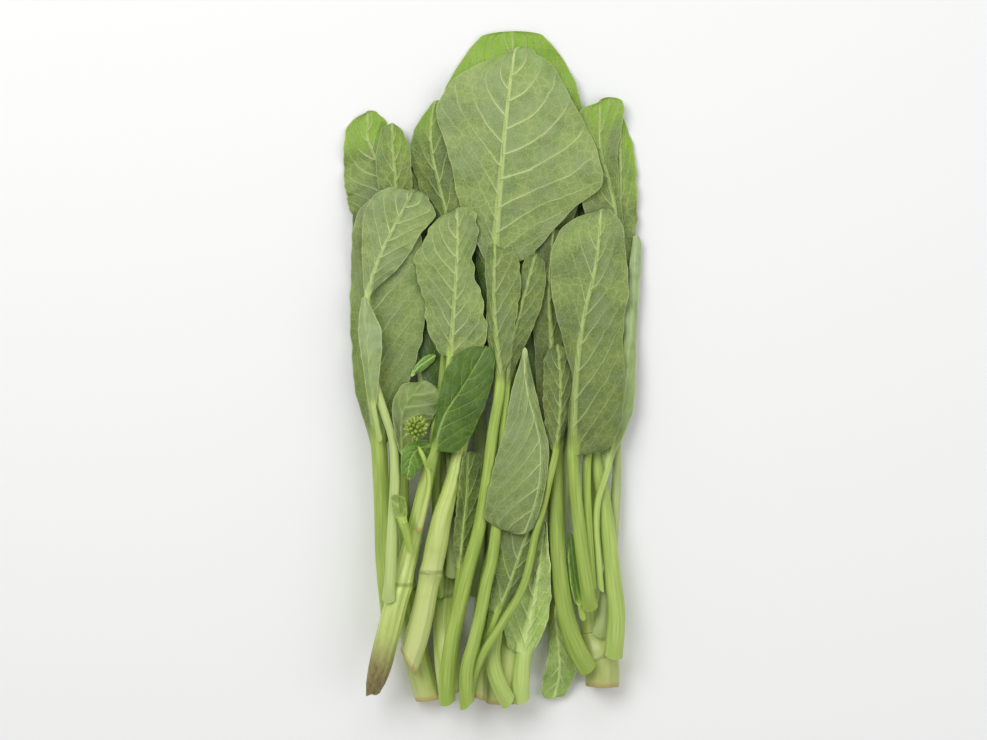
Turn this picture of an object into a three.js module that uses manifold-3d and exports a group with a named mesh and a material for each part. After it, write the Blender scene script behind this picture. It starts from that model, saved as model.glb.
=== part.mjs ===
// A bunch of choy sum lying on a table, tips toward +Y, in millimetres, +Z up.
// Eight cut flowering stems carry long-stalked leaves that lie over one another, most with
// the underside and its raised midrib up, round one flower-bud head. Every leaf is one thin
// waved blade with its own stalk, and everything is laid from the table up, piece by piece,
// each resting just clear of what already lies below it.
import * as THREE from 'three';
import { mergeVertices } from 'three/addons/utils/BufferGeometryUtils.js';
import Module from 'manifold-3d';

const wasm = await Module();
wasm.setup();

// Driving dimensions, millimetres
const BLADE_THICKNESS = 0.9;
const MARGIN_OF_STALK = 0.5;      // half height of a stalk or stem at its side edges
const STALK_HEIGHT = 0.85;        // height of a leaf stalk as a share of its half width
const MIDRIB_TIP_HEIGHT = 0.25;   // how far the midrib still stands out at the tip
const REST_GAP = 0.45;            // air left between things that lie on each other
const CELL = 0.7;                 // grid step of the height map of what is already laid
const HALF_WIDTH = 84;            // reach of the height map each way from the middle
const HALF_LENGTH = 170;
const STEM_SIDES_LIFT = 0.96;     // a stem is a little flatter than it is wide
const JOINT_REACH = 3;            // a leaf joint swells the stem this far each way
const JOINT_SWELL = 0.09;         // share of the radius that it adds
const LEFT_WAVE_PHASE = 0.4;      // where the margin's waves start on each side
const RIGHT_WAVE_PHASE = 2.1;
const BUD_RADIUS = 1.5;
const BUD_HEAD_RADIUS = 3.4;
const BUD_COUNT = 15;
const BUD_COVER = 1.75;           // buds cover the head from its top (0) to its foot (2)

// How finely curves are read and how closely things settle
const ARC_DIVISIONS = 400;
const TANGENT_SPAN = 0.03;        // share of a line over which its direction is taken
const CLOSEST_STATIONS = 0.012;   // share of a stem's length between its nearest stations
const MOST_REPAIRS = 300;
const CLOSE_ENOUGH = 0.002;
const MERGE_DISTANCE = 1e-4;

const LEAF_COLOUR = 0x75904f;
const LEAF_UPPER_COLOUR = 0x4f7a2c;
const STEM_COLOUR = 0xa4b661;
const BUD_COLOUR = 0x8ea03f;

// Stations along a blade from its base (0) to its tip (1), for the two widths of each leaf
const BLADE_STATIONS = [0, 0.07, 0.17, 0.29, 0.42, 0.55, 0.68, 0.8, 0.9, 0.965, 1];
// Points across a leaf, as shares of the half width on each side
const LEAF_COLUMNS = [-1, -0.55, 'rib-', 0, 'rib+', 0.55, 1];
const LEAF_COLUMNS_BEHIND = [-1, -0.5, 0, 0.5, 1];
// Leaves that lie on top get every station and column, the ones behind them fewer
const FRONT_LEAVES = [
  'leaf_01_top_front', 'leaf_02_top_rim', 'leaf_04_far_left_top', 'leaf_06_left_long',
  'leaf_07_left_round', 'leaf_08_centre_left', 'leaf_11_right_front', 'leaf_13_right_top',
  'leaf_16_bright_small', 'leaf_17_centre_folded',
];
const SKIPPED_BEHIND = [0.29, 0.55, 0.965];
const STALK_STEP = 22;            // distance between stations along a leaf stalk
const STEM_STEP = 15;
// Points across a stem, as shares of its half width
const STEM_COLUMNS = [-1, -0.75, -0.25, 0.25, 0.75, 1];

// How things settle when they are laid: passes of smoothing and how far each pass sinks
const STEM_LAY = { stiffness: 60, settling: 0, sag: 0.2 };
const LEAF_LAY = { stiffness: 25, settling: 14, sag: 0.12 };

// Stems: plan line from the cut end up, half widths along it, shares of the length at which
// a leaf joint swells it, and how far the cut slants.
const STEMS = {
  stem_1_far_left: {
    line: [
      [-53.5, -146.2], [-50.6, -135.0], [-47.5, -122.5], [-43.9, -108.5], [-40.5, -96.3], [-37.3, -83.3],
      [-32.6, -64.0], [-28.8, -47.0], [-25.2, -30.0], [-22.5, -8.0],
    ],
    half: [3.6, 5.2, 5.3, 4.9, 4.2, 3.6, 3.3, 3.1, 2.7, 2.0], joints: [0.36], slant: 1.5,
  },
  stem_2_pale: {
    line: [
      [-37.8, -132.8], [-34.2, -122.0], [-31.2, -110.0], [-29.2, -100.0], [-27.4, -91.4], [-25.0, -79.6],
      [-22.4, -67.0], [-17.9, -52.0], [-15.0, -39.0], [-12.0, -24.0], [-9.5, -8.0],
    ],
    half: [5.3, 5.4, 5.1, 4.8, 5.2, 4.7, 4.0, 3.5, 3.2, 2.8, 2.4], joints: [0.33], slant: -4.5,
  },
  stem_3_ribbed: {
    line: [
      [-28.8, -151.0], [-32.0, -140.0], [-35.0, -128.0], [-37.5, -114.0], [-39.5, -98.0], [-41.0, -80.0],
      [-42.0, -60.0],
    ],
    half: [5.8, 5.9, 5.6, 5.2, 4.6, 4.0, 3.2], joints: [0.55], slant: -1,
  },
  stem_4_middle_left: {
    line: [
      [-19.4, -147.6], [-20.3, -136.4], [-21.2, -124.2], [-21.6, -109.4], [-20.3, -94.1], [-18.0, -79.2],
      [-15.8, -59.9],
    ],
    half: [4.8, 5.6, 5.6, 5.2, 4.8, 4.2, 3.4], joints: [0.5], slant: 0.6,
  },
  stem_5_middle: {
    line: [
      [4.6, -152.4], [5.6, -144.0], [7.8, -134.0], [10.6, -122.0], [13.0, -106.0], [14.6, -88.0],
      [16.0, -66.0], [17.4, -42.0],
    ],
    half: [7.2, 7.6, 7.2, 6.6, 6.0, 5.4, 4.6, 3.4], joints: [0.3, 0.62], slant: 0.8,
  },
  stem_6_right: {
    line: [
      [50.2, -144.6], [50.1, -136.4], [48.6, -129.2], [46.4, -122.0], [45.4, -113.9], [44.8, -106.7],
      [46.0, -95.0], [47.3, -81.5], [47.7, -68.0], [47.7, -50.0], [48.6, -32.0],
    ],
    half: [7.9, 7.7, 5.8, 5.3, 4.6, 4.0, 3.7, 3.5, 3.3, 3.1, 2.9], joints: [0.12, 0.33], slant: 0,
  },
  stem_7_right_inner: {
    line: [[31.0, -136.0], [30.2, -122.0], [29.2, -104.0], [28.2, -82.0], [27.6, -58.0], [26.6, -32.0]],
    half: [4.2, 4.4, 4.2, 4.0, 3.6, 2.8], joints: [0.45], slant: 1,
  },
  stem_8_left_inner: {
    line: [[-6.0, -149.6], [-5.6, -136.0], [-4.8, -120.0], [-3.6, -102.0], [-1.6, -82.0], [0.4, -58.0]],
    half: [3.4, 3.7, 3.7, 3.5, 3.2, 2.8], joints: [0.4], slant: -1.2,
  },
  flower_stalk: {
    line: [
      [-33.0, -73.0], [-30.2, -62.0], [-28.4, -53.0], [-28.6, -46.0], [-30.8, -39.5], [-33.0, -35.0],
    ],
    half: [1.5, 1.4, 1.3, 1.2, 1.1, 1.0], joints: [], slant: 0,
  },
};
const BUD_HEAD = { x: -34.2, y: -27.0 };

// Leaves: which face is up, where the blade starts as a share of the whole length, half
// widths of the stalk at its ends, wave height and number of the margin, how far the margins
// bend up (+) or down (-), the plan line from the foot of the stalk to the tip, and the
// blade's widths to the left and right of that line at BLADE_STATIONS.
const LEAVES = [
  {
    name: 'leaf_31_back_far_left', face: 'upper', start: 0.449, petiole: [3.6, 2.2],
    wave: 1.4, waves: 4, cup: -1,
    line: [[-37.8, -86.0], [-44.1, -36.5], [-48.6, -9.5], [-53.1, 22.1], [-55.8, 53.6], [-57.6, 85.0]],
    left: [2.2, 4.1, 6.4, 7.3, 7.9, 8.0, 8.0, 7.3, 5.9, 4.0, 3.0],
    right: [2.2, 5.8, 9.6, 12.0, 14.1, 14.6, 14.3, 13.0, 10.7, 7.9, 4.5],
  },
  {
    name: 'leaf_29_back_centre_left', face: 'upper', start: 0.455, petiole: [3.6, 2.2],
    wave: 1.6, waves: 5, cup: -1,
    line: [[-7.7, -104.0], [-5.4, -50.0], [-6.3, -0.5], [-9.9, 44.6], [-13.5, 85.0], [-16.2, 123.3]],
    left: [2.2, 5.2, 9.5, 11.8, 13.8, 14.6, 14.3, 12.7, 9.3, 6.0, 0.9],
    right: [2.2, 5.9, 10.3, 12.3, 14.1, 14.3, 14.4, 12.6, 9.7, 6.1, 0.9],
  },
  {
    name: 'leaf_27_back_right', face: 'upper', start: 0.421, petiole: [4.0, 2.2],
    wave: 1.6, waves: 4, cup: -1,
    line: [[28.8, -104.0], [31.5, -59.0], [37.4, -14.0], [44.1, 31.1], [48.6, 76.0], [50.0, 109.8]],
    left: [2.2, 6.2, 9.6, 12.1, 13.8, 14.7, 14.8, 13.6, 10.8, 6.6, 3.5],
    right: [2.2, 5.6, 9.4, 12.3, 14.5, 15.5, 15.6, 15.6, 12.3, 8.4, 3.8],
  },
  {
    name: 'leaf_30_back_left', face: 'upper', start: 0.49, petiole: [3.6, 2.2],
    wave: 1.6, waves: 4, cup: -1,
    line: [[-16.2, -86.0], [-25.2, -31.9], [-33.3, 4.0], [-39.6, 40.1], [-44.1, 71.5], [-45.9, 98.5]],
    left: [2.2, 3.6, 7.0, 9.4, 11.3, 11.8, 12.1, 10.1, 8.7, 5.1, 2.8],
    right: [2.2, 6.6, 10.3, 12.6, 15.0, 15.8, 15.8, 14.4, 11.8, 8.5, 4.5],
  },
  {
    name: 'leaf_32_back_centre', face: 'upper', start: 0.46, petiole: [3.6, 2.2],
    wave: 1.6, waves: 5, cup: -1,
    line: [[6.3, -86.0], [9.0, -31.9], [7.7, 4.0], [6.3, 40.1], [6.3, 76.0], [7.2, 109.8]],
    left: [2.2, 4.4, 7.8, 10.7, 13.2, 14.6, 15.2, 13.9, 12.1, 8.3, 4.9],
    right: [2.2, 6.1, 11.2, 13.7, 16.2, 16.7, 17.0, 15.5, 13.3, 8.4, 5.0],
  },
  {
    name: 'leaf_28_back_centre_right', face: 'upper', start: 0.391, petiole: [3.6, 2.2],
    wave: 1.6, waves: 4, cup: -1,
    line: [[21.6, -104.0], [22.9, -59.0], [22.9, -22.9], [22.1, 17.6], [22.9, 62.6], [27.0, 103.0]],
    left: [2.2, 5.3, 9.3, 11.1, 13.0, 13.3, 13.8, 12.5, 10.7, 6.1, 3.6],
    right: [2.2, 6.9, 11.4, 13.6, 15.6, 16.3, 16.6, 14.5, 12.3, 7.2, 4.4],
  },
  {
    name: 'leaf_33_back_short', face: 'upper', start: 0.413, petiole: [2.7, 1.8],
    wave: 1.2, waves: 3, cup: -1,
    line: [[-18.0, -95.0], [-18.0, -68.0], [-18.9, -41.0], [-20.7, -14.0], [-23.4, 13.1], [-26.1, 35.6]],
    left: [1.8, 3.6, 6.1, 8.3, 9.4, 10.4, 9.8, 8.8, 6.3, 4.0, 1.7],
    right: [1.8, 3.9, 6.7, 8.8, 10.1, 11.0, 10.5, 9.3, 7.2, 4.4, 2.1],
  },
  {
    name: 'leaf_34_back_right_short', face: 'under', start: 0.524, petiole: [3.1, 1.8],
    wave: 1.2, waves: 3, cup: -1,
    line: [
      [48.6, -122.0], [54.0, -86.0], [56.7, -50.0], [56.7, -27.4], [54.9, -0.5], [51.3, 31.1],
      [46.8, 58.1],
    ],
    left: [1.8, 4.1, 7.3, 9.5, 10.6, 11.5, 11.4, 11.1, 8.6, 6.6, 3.1],
    right: [1.8, 4.4, 7.2, 8.8, 10.0, 10.8, 10.9, 10.5, 8.7, 5.4, 2.5],
  },
  {
    name: 'leaf_02_top_rim', face: 'under', start: 0.605, petiole: [2.5, 2.0],
    wave: 2.2, waves: 5, cup: -2.5,
    line: [
      [-10.8, -151.7], [-8.1, -131.0], [-5.9, -113.0], [-2.7, -92.7], [1.4, -75.6], [4.5, -50.0],
      [7.2, -22.9], [9.0, 4.0], [10.3, 31.1], [10.8, 76.0], [10.3, 112.0], [9.5, 151.2],
    ],
    left: [2.0, 8.5, 16.9, 23.8, 29.6, 34.1, 36.7, 32.0, 25.2, 19.4, 15.6],
    right: [2.0, 7.9, 16.5, 25.3, 30.7, 33.1, 32.3, 28.8, 23.9, 18.3, 14.6],
  },
  {
    name: 'leaf_03_top_left_dark', face: 'under', start: 0.656, petiole: [2.2, 1.6],
    wave: 1.2, waves: 4, cup: -1.5,
    line: [
      [-23.4, -104.0], [-25.2, -68.0], [-24.8, -36.5], [-22.9, -9.5], [-20.2, 22.1], [-18.9, 44.6],
      [-20.2, 66.2], [-24.3, 84.2], [-27.4, 98.5], [-27.9, 111.2], [-26.1, 121.5],
    ],
    left: [1.6, 3.6, 5.6, 7.3, 8.0, 9.2, 10.0, 8.4, 4.8, 2.5, 0.9],
    right: [1.6, 3.8, 5.9, 7.5, 9.9, 11.5, 12.5, 12.0, 10.4, 7.8, 5.4],
  },
  {
    name: 'leaf_04_far_left_top', face: 'under', start: 0.726, petiole: [2.2, 1.6],
    wave: 1.8, waves: 4, cup: -1.5,
    line: [
      [-47.7, -112.0], [-45.9, -86.0], [-45.0, -59.0], [-45.0, -27.4], [-46.8, -5.0], [-47.2, 26.6],
      [-46.4, 55.8], [-46.8, 80.5], [-52.2, 94.0], [-56.7, 104.9], [-56.7, 117.0],
    ],
    left: [1.6, 5.6, 14.4, 19.0, 19.7, 18.5, 15.4, 11.4, 9.3, 5.1, 0.9],
    right: [1.6, 3.5, 4.7, 5.1, 5.7, 7.4, 9.3, 10.3, 9.3, 7.4, 4.5],
  },
  {
    name: 'leaf_05_left_top', face: 'under', start: 0.729, petiole: [2.0, 1.6],
    wave: 1.4, waves: 3, cup: -1.5,
    line: [
      [-39.6, -86.0], [-39.6, -59.0], [-39.6, -31.9], [-40.5, -0.5], [-41.9, 31.1], [-42.8, 58.1],
      [-43.6, 82.8], [-45.0, 98.5], [-45.5, 111.6],
    ],
    left: [1.6, 3.0, 5.4, 7.1, 8.1, 8.6, 8.4, 7.4, 6.1, 4.7, 0.9],
    right: [1.6, 3.0, 4.7, 6.0, 7.1, 7.6, 7.8, 7.4, 5.6, 3.6, 0.9],
  },
  {
    name: 'leaf_06_left_long', face: 'under', start: 0.443, petiole: [3.6, 3.6],
    wave: 1.6, waves: 4, cup: -2.5,
    line: [
      [-45.5, -124.2], [-47.2, -106.2], [-49.1, -86.0], [-49.7, -64.4], [-50.4, -47.7], [-51.3, -34.2],
      [-54.9, -11.7], [-56.7, 15.3], [-55.8, 40.1], [-51.3, 62.6], [-46.8, 77.9],
    ],
    left: [3.6, 4.6, 6.4, 7.6, 7.7, 8.0, 9.1, 11.2, 11.8, 8.1, 0.9],
    right: [3.6, 8.0, 14.8, 20.1, 25.0, 26.6, 25.8, 22.9, 18.2, 14.0, 9.5],
  },
  {
    name: 'leaf_20_low_hanging', face: 'under', start: 0.223, petiole: [1.3, 1.2],
    wave: 1, waves: 3, cup: -1,
    line: [[31.9, -100.4], [29.2, -111.2], [30.6, -128.7], [30.6, -140.0], [28.4, -149.8]],
    left: [1.2, 1.6, 2.9, 3.7, 4.5, 6.2, 7.5, 6.1, 5.3, 4.7, 0.9],
    right: [1.2, 1.7, 3.1, 3.7, 4.4, 5.6, 6.7, 7.0, 6.7, 6.5, 6.4],
  },
  {
    name: 'leaf_12_right_inner', face: 'under', start: 0.51, petiole: [4.5, 2.9],
    wave: 1, waves: 3, cup: -1,
    line: [
      [44.1, -137.2], [38.7, -127.4], [33.8, -113.0], [31.1, -95.0], [29.7, -79.2], [29.2, -59.0],
      [29.2, -36.5], [28.8, -14.0], [27.0, 13.1], [26.1, 35.6], [27.9, 62.6],
    ],
    left: [2.9, 4.8, 7.0, 8.2, 8.1, 7.8, 7.2, 7.0, 5.9, 5.2, 0.9],
    right: [2.9, 4.4, 6.8, 8.0, 9.3, 9.7, 9.9, 8.6, 6.8, 4.4, 3.1],
  },
  {
    name: 'leaf_13_right_top', face: 'under', start: 0.55, petiole: [2.2, 1.8],
    wave: 1.4, waves: 4, cup: -1,
    line: [
      [45.0, -100.4], [44.1, -86.0], [43.2, -68.0], [42.8, -45.5], [45.0, -22.9], [48.1, -0.5],
      [51.3, 22.1], [54.9, 48.1], [56.2, 69.3], [53.1, 86.0], [49.5, 99.5], [49.5, 121.5],
    ],
    left: [1.8, 6.4, 10.0, 12.0, 13.7, 14.0, 13.1, 11.5, 11.1, 9.0, 0.9],
    right: [1.8, 4.7, 6.2, 5.9, 3.9, 3.1, 5.8, 8.6, 10.1, 10.6, 10.1],
  },
  {
    name: 'leaf_14_far_right_top', face: 'under', start: 0.627, petiole: [4.3, 2.0],
    wave: 1.4, waves: 4, cup: -1.5,
    line: [
      [54.5, -131.4], [55.6, -122.0], [56.2, -110.2], [54.7, -94.5], [52.6, -74.7], [50.6, -59.0],
      [47.7, -40.1], [50.0, -14.0], [55.8, 22.1], [57.6, 53.6], [58.5, 85.0], [58.5, 113.9],
    ],
    left: [2.0, 3.9, 5.5, 6.6, 7.5, 7.8, 7.7, 7.0, 5.1, 3.3, 2.0],
    right: [2.0, 4.5, 6.2, 7.2, 7.7, 8.0, 7.8, 6.9, 5.1, 3.1, 1.8],
  },
  {
    name: 'leaf_15_right_edge', face: 'under', start: 0.343, petiole: [1.6, 1.4],
    wave: 1.0, waves: 5, cup: -1.5,
    line: [
      [49.1, -100.4], [48.1, -86.0], [47.2, -72.5], [48.1, -59.0], [52.2, -45.5], [54.9, -31.9],
      [59.4, -14.0], [62.6, 8.6], [64.4, 31.1], [65.7, 59.9],
    ],
    left: [1.4, 3.8, 4.7, 4.2, 3.4, 3.9, 3.7, 2.8, 2.4, 1.8, 1.5],
    right: [1.4, 2.3, 4.8, 5.6, 4.2, 2.9, 2.4, 2.5, 2.9, 2.8, 1.7],
  },
  {
    name: 'leaf_21_low_right_small', face: 'upper', start: 0.189, petiole: [1.3, 1.1],
    wave: 0.6, waves: 2, cup: -1,
    line: [[41.4, -113.9], [39.6, -106.7], [37.8, -97.2], [36.5, -86.0], [35.6, -75.2]],
    left: [1.1, 2.0, 2.2, 2.4, 2.3, 2.2, 2.2, 1.7, 1.3, 1.0, 0.9],
    right: [1.1, 2.8, 2.9, 3.0, 3.0, 2.8, 2.6, 2.1, 1.6, 1.3, 0.9],
  },
  {
    name: 'leaf_19_low_pale', face: 'under', start: 0.273, petiole: [4.0, 3.6],
    wave: 1.2, waves: 3, cup: 1.5,
    line: [
      [13.1, -151.7], [13.1, -140.8], [14.4, -128.7], [16.7, -115.2], [19.4, -99.5], [21.6, -83.7],
      [22.5, -68.0],
    ],
    left: [3.6, 8.5, 10.8, 11.7, 11.3, 9.6, 7.5, 5.4, 3.7, 2.5, 0.9],
    right: [3.6, 5.2, 7.1, 8.1, 7.9, 6.6, 5.1, 3.7, 2.9, 2.5, 0.9],
  },
  {
    name: 'leaf_36_low_dark', face: 'under', start: 0.199, petiole: [2.0, 1.5],
    wave: 0.8, waves: 3, cup: -1,
    line: [[-1.8, -122.9], [2.2, -110.2], [6.8, -100.4], [11.7, -86.0], [16.7, -71.5], [20.2, -60.3]],
    left: [1.5, 7.5, 10.0, 11.4, 11.9, 11.9, 11.1, 9.3, 6.4, 2.3, 0.9],
    right: [1.5, 2.8, 3.7, 7.0, 8.5, 9.1, 8.2, 6.9, 5.3, 4.3, 0.9],
  },
  {
    name: 'leaf_01_top_front', face: 'under', start: 0.675, petiole: [3.8, 2.9],
    wave: 2.2, waves: 5, cup: -2.5,
    line: [
      [8.1, -151.7], [4.5, -145.3], [1.4, -137.7], [0.0, -129.2], [0.9, -121.0], [2.7, -104.0],
      [4.5, -86.0], [5.0, -59.0], [4.0, -22.9], [2.2, 13.1], [0.9, 35.6], [0.9, 48.1], [2.7, 73.8],
      [5.4, 103.0], [7.7, 125.5], [10.3, 144.9],
    ],
    left: [2.9, 7.4, 13.6, 18.6, 22.4, 27.3, 31.9, 27.9, 18.0, 6.9, 0.9],
    right: [2.9, 18.4, 25.8, 35.1, 46.4, 43.1, 36.3, 28.6, 22.6, 16.6, 9.4],
  },
  {
    name: 'leaf_11_right_front', face: 'under', start: 0.388, petiole: [3.2, 2.7],
    wave: 1.8, waves: 4, cup: -2.5,
    line: [
      [44.6, -109.4], [42.8, -99.5], [40.1, -79.2], [37.4, -54.5], [36.5, -39.1], [36.9, -22.9],
      [37.8, -7.2], [39.6, 10.8], [42.3, 26.6], [45.9, 41.0], [48.1, 54.5], [49.5, 71.5],
    ],
    left: [2.7, 2.5, 2.5, 1.5, 6.1, 12.6, 18.7, 20.8, 18.3, 11.2, 0.9],
    right: [2.7, 18.8, 22.2, 22.5, 20.7, 18.5, 17.4, 14.2, 11.4, 9.3, 5.1],
  },
  {
    name: 'leaf_22_low_left_small', face: 'under', start: 0.519, petiole: [2.0, 1.6],
    wave: 0.8, waves: 3, cup: -1,
    line: [
      [-19.4, -146.2], [-18.0, -126.5], [-16.7, -108.5], [-14.4, -90.5], [-12.6, -72.5], [-11.2, -56.7],
      [-10.8, -38.7],
    ],
    left: [1.6, 3.9, 4.3, 4.5, 4.5, 4.4, 4.2, 3.7, 3.0, 2.5, 1.4],
    right: [1.6, 4.0, 4.7, 5.4, 6.1, 6.6, 6.8, 6.7, 6.0, 5.6, 5.4],
  },
  {
    name: 'leaf_10_centre_slim', face: 'under', start: 0.696, petiole: [3.1, 1.9],
    wave: 1, waves: 4, cup: -1,
    line: [
      [-11.2, -151.7], [-11.5, -135.9], [-7.7, -121.0], [-5.0, -109.4], [-2.5, -96.3], [0.0, -86.4],
      [1.8, -72.5], [3.6, -54.5], [5.0, -31.9], [6.3, -9.5], [8.6, 10.8], [13.5, 28.8], [19.8, 51.8],
    ],
    left: [1.9, 1.9, 1.7, 1.2, 1.1, 1.9, 2.8, 4.0, 4.5, 4.3, 0.9],
    right: [1.9, 2.3, 3.4, 5.5, 7.4, 8.1, 8.7, 8.1, 6.2, 4.9, 0.9],
  },
  {
    name: 'leaf_09_centre_narrow', face: 'under', start: 0.699, petiole: [3.8, 2.2],
    wave: 0.8, waves: 4, cup: -1.5,
    line: [
      [-20.2, -151.7], [-20.2, -140.0], [-18.0, -122.9], [-14.4, -106.2], [-11.2, -92.7], [-5.9, -72.5],
      [-2.2, -50.0], [0.5, -27.4], [3.6, -7.7], [2.2, 10.8], [0.9, 31.1], [1.4, 55.4],
    ],
    left: [2.2, 2.0, 3.0, 3.7, 4.1, 3.5, 3.2, 4.2, 4.4, 3.9, 3.7],
    right: [2.2, 2.2, 4.4, 6.8, 8.9, 10.7, 12.1, 11.8, 10.9, 7.5, 0.9],
  },
  {
    name: 'leaf_08_centre_left', face: 'under', start: 0.392, petiole: [1.8, 1.6],
    wave: 1.6, waves: 5, cup: -2,
    line: [
      [-21.6, -37.4], [-22.5, -27.4], [-21.2, -16.2], [-19.8, -5.0], [-18.9, 5.4], [-17.1, 31.1],
      [-15.8, 51.3], [-15.8, 72.0],
    ],
    left: [1.6, 6.9, 11.2, 12.4, 15.0, 18.1, 19.1, 15.0, 11.3, 6.9, 0.9],
    right: [1.6, 14.0, 15.9, 14.7, 12.2, 8.9, 7.3, 8.7, 9.4, 9.4, 5.7],
  },
  {
    name: 'leaf_07_left_round', face: 'under', start: 0.732, petiole: [2.7, 1.4],
    wave: 1.4, waves: 3, cup: -2.5,
    line: [
      [-46.4, -104.9], [-45.5, -92.7], [-45.0, -79.2], [-44.1, -61.2], [-43.6, -45.5], [-44.6, -31.9],
      [-48.6, -19.4], [-53.1, -5.0], [-56.2, 10.8], [-57.6, 22.9], [-56.2, 33.3], [-53.1, 44.6],
      [-48.6, 55.8], [-42.3, 68.0], [-36.0, 80.1],
    ],
    left: [1.4, 2.8, 4.7, 7.4, 10.3, 13.4, 15.4, 15.1, 12.3, 8.4, 1.7],
    right: [1.4, 2.7, 5.8, 9.1, 10.9, 11.8, 11.8, 13.1, 14.2, 11.5, 8.2],
  },
  {
    name: 'leaf_35_left_fold', face: 'under', start: 0.238, petiole: [1.2, 1.1],
    wave: 0.8, waves: 3, cup: 1.2,
    line: [[-50.4, -32.9], [-53.1, -17.6], [-54.9, -5.0], [-56.2, 10.8], [-57.6, 31.9]],
    left: [1.1, 2.2, 2.3, 2.4, 2.8, 3.3, 3.7, 3.0, 2.2, 1.3, 0.9],
    right: [1.1, 2.1, 3.2, 4.4, 5.6, 6.7, 6.9, 5.1, 3.1, 1.6, 0.9],
  },
  {
    name: 'leaf_25_tiny_upper', face: 'upper', start: 0.0, petiole: [0.9, 0.8],
    wave: 0.5, waves: 2, cup: -0.5,
    line: [[-36.5, -3.6], [-33.8, 0.5], [-29.7, 3.6], [-26.1, 5.9]],
    left: [0.9, 0.9, 0.9, 1.2, 1.4, 1.8, 2.1, 1.9, 1.7, 0.9, 0.9],
    right: [0.9, 0.9, 1.9, 2.6, 2.8, 2.8, 2.6, 2.3, 2.0, 1.6, 0.9],
  },
  {
    name: 'leaf_26_tiny_left', face: 'under', start: 0.635, petiole: [1.4, 2.4],
    wave: 0.5, waves: 2, cup: -0.8,
    line: [[-36.5, -82.8], [-38.2, -74.2], [-40.5, -66.6], [-42.3, -57.1]],
    left: [2.4, 2.9, 3.0, 3.2, 3.3, 3.3, 3.3, 3.2, 3.2, 3.2, 3.2],
    right: [2.4, 2.8, 2.9, 3.0, 3.1, 3.1, 3.1, 3.0, 2.9, 1.0, 0.9],
  },
  {
    name: 'leaf_23_bud_upper', face: 'under', start: 0.248, petiole: [1.4, 1.1],
    wave: 1, waves: 3, cup: -0.8,
    line: [[-36.9, -50.0], [-39.6, -38.7], [-40.5, -27.4], [-39.6, -18.4], [-36.5, -12.6], [-31.5, -6.3]],
    left: [1.1, 2.0, 2.5, 3.3, 4.1, 5.3, 6.2, 6.5, 4.4, 1.5, 0.9],
    right: [1.1, 6.8, 8.7, 10.8, 12.5, 13.5, 13.5, 13.1, 12.5, 11.6, 10.9],
  },
  {
    name: 'leaf_24_bud_lower', face: 'upper', start: 0.202, petiole: [1.1, 0.9],
    wave: 0.8, waves: 3, cup: -0.8,
    line: [[-23.4, -35.6], [-27.9, -34.6], [-32.4, -35.6], [-36.0, -39.1], [-37.8, -47.2]],
    left: [0.9, 4.5, 5.2, 5.4, 5.5, 5.7, 5.5, 5.1, 4.4, 3.7, 3.4],
    right: [0.9, 2.6, 2.9, 3.7, 4.8, 4.5, 4.1, 3.8, 3.3, 3.0, 2.8],
  },
  {
    name: 'leaf_18_centre_dark', face: 'under', start: 0.699, petiole: [2.1, 1.5],
    wave: 1, waves: 3, cup: -1.5,
    line: [
      [-9.9, -141.8], [-4.5, -128.7], [5.0, -113.9], [14.4, -96.8], [19.8, -73.8], [23.2, -62.1],
      [25.9, -50.0], [28.8, -37.4], [30.6, -22.9], [31.1, -5.0], [29.7, 10.8],
    ],
    left: [1.5, 3.6, 5.4, 6.9, 7.5, 8.1, 7.9, 7.2, 6.5, 4.1, 0.9],
    right: [1.5, 1.4, 2.6, 4.3, 5.5, 6.4, 6.0, 5.5, 5.3, 3.2, 0.9],
  },
  {
    name: 'leaf_16_bright_small', face: 'upper', start: 0.138, petiole: [1.8, 1.4],
    wave: 1.2, waves: 3, cup: -1.5,
    line: [[-27.9, -44.6], [-26.1, -36.5], [-23.4, -26.6], [-20.2, -18.9], [-13.1, -8.1], [-2.7, 9.5]],
    left: [1.4, 2.0, 2.7, 3.9, 6.6, 9.6, 10.6, 10.3, 7.8, 4.3, 0.9],
    right: [1.4, 11.8, 14.0, 14.8, 14.4, 13.1, 11.6, 9.8, 7.4, 5.5, 3.8],
  },
  {
    name: 'leaf_17_centre_folded', face: 'under', start: 0.0, petiole: [1.0, 1.0],
    wave: 1.4, waves: 4, cup: -2,
    line: [
      [14.8, 9.5], [15.3, -2.7], [17.1, -14.0], [20.2, -25.2], [22.1, -36.5], [21.6, -50.0],
      [18.9, -62.6], [14.8, -73.4],
    ],
    left: [1.0, 1.7, 2.9, 3.5, 3.1, 3.6, 3.0, 2.8, 2.8, 2.9, 0.9],
    right: [1.0, 2.2, 5.6, 10.2, 15.7, 19.7, 21.6, 22.1, 21.5, 20.5, 19.9],
  },];

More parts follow.
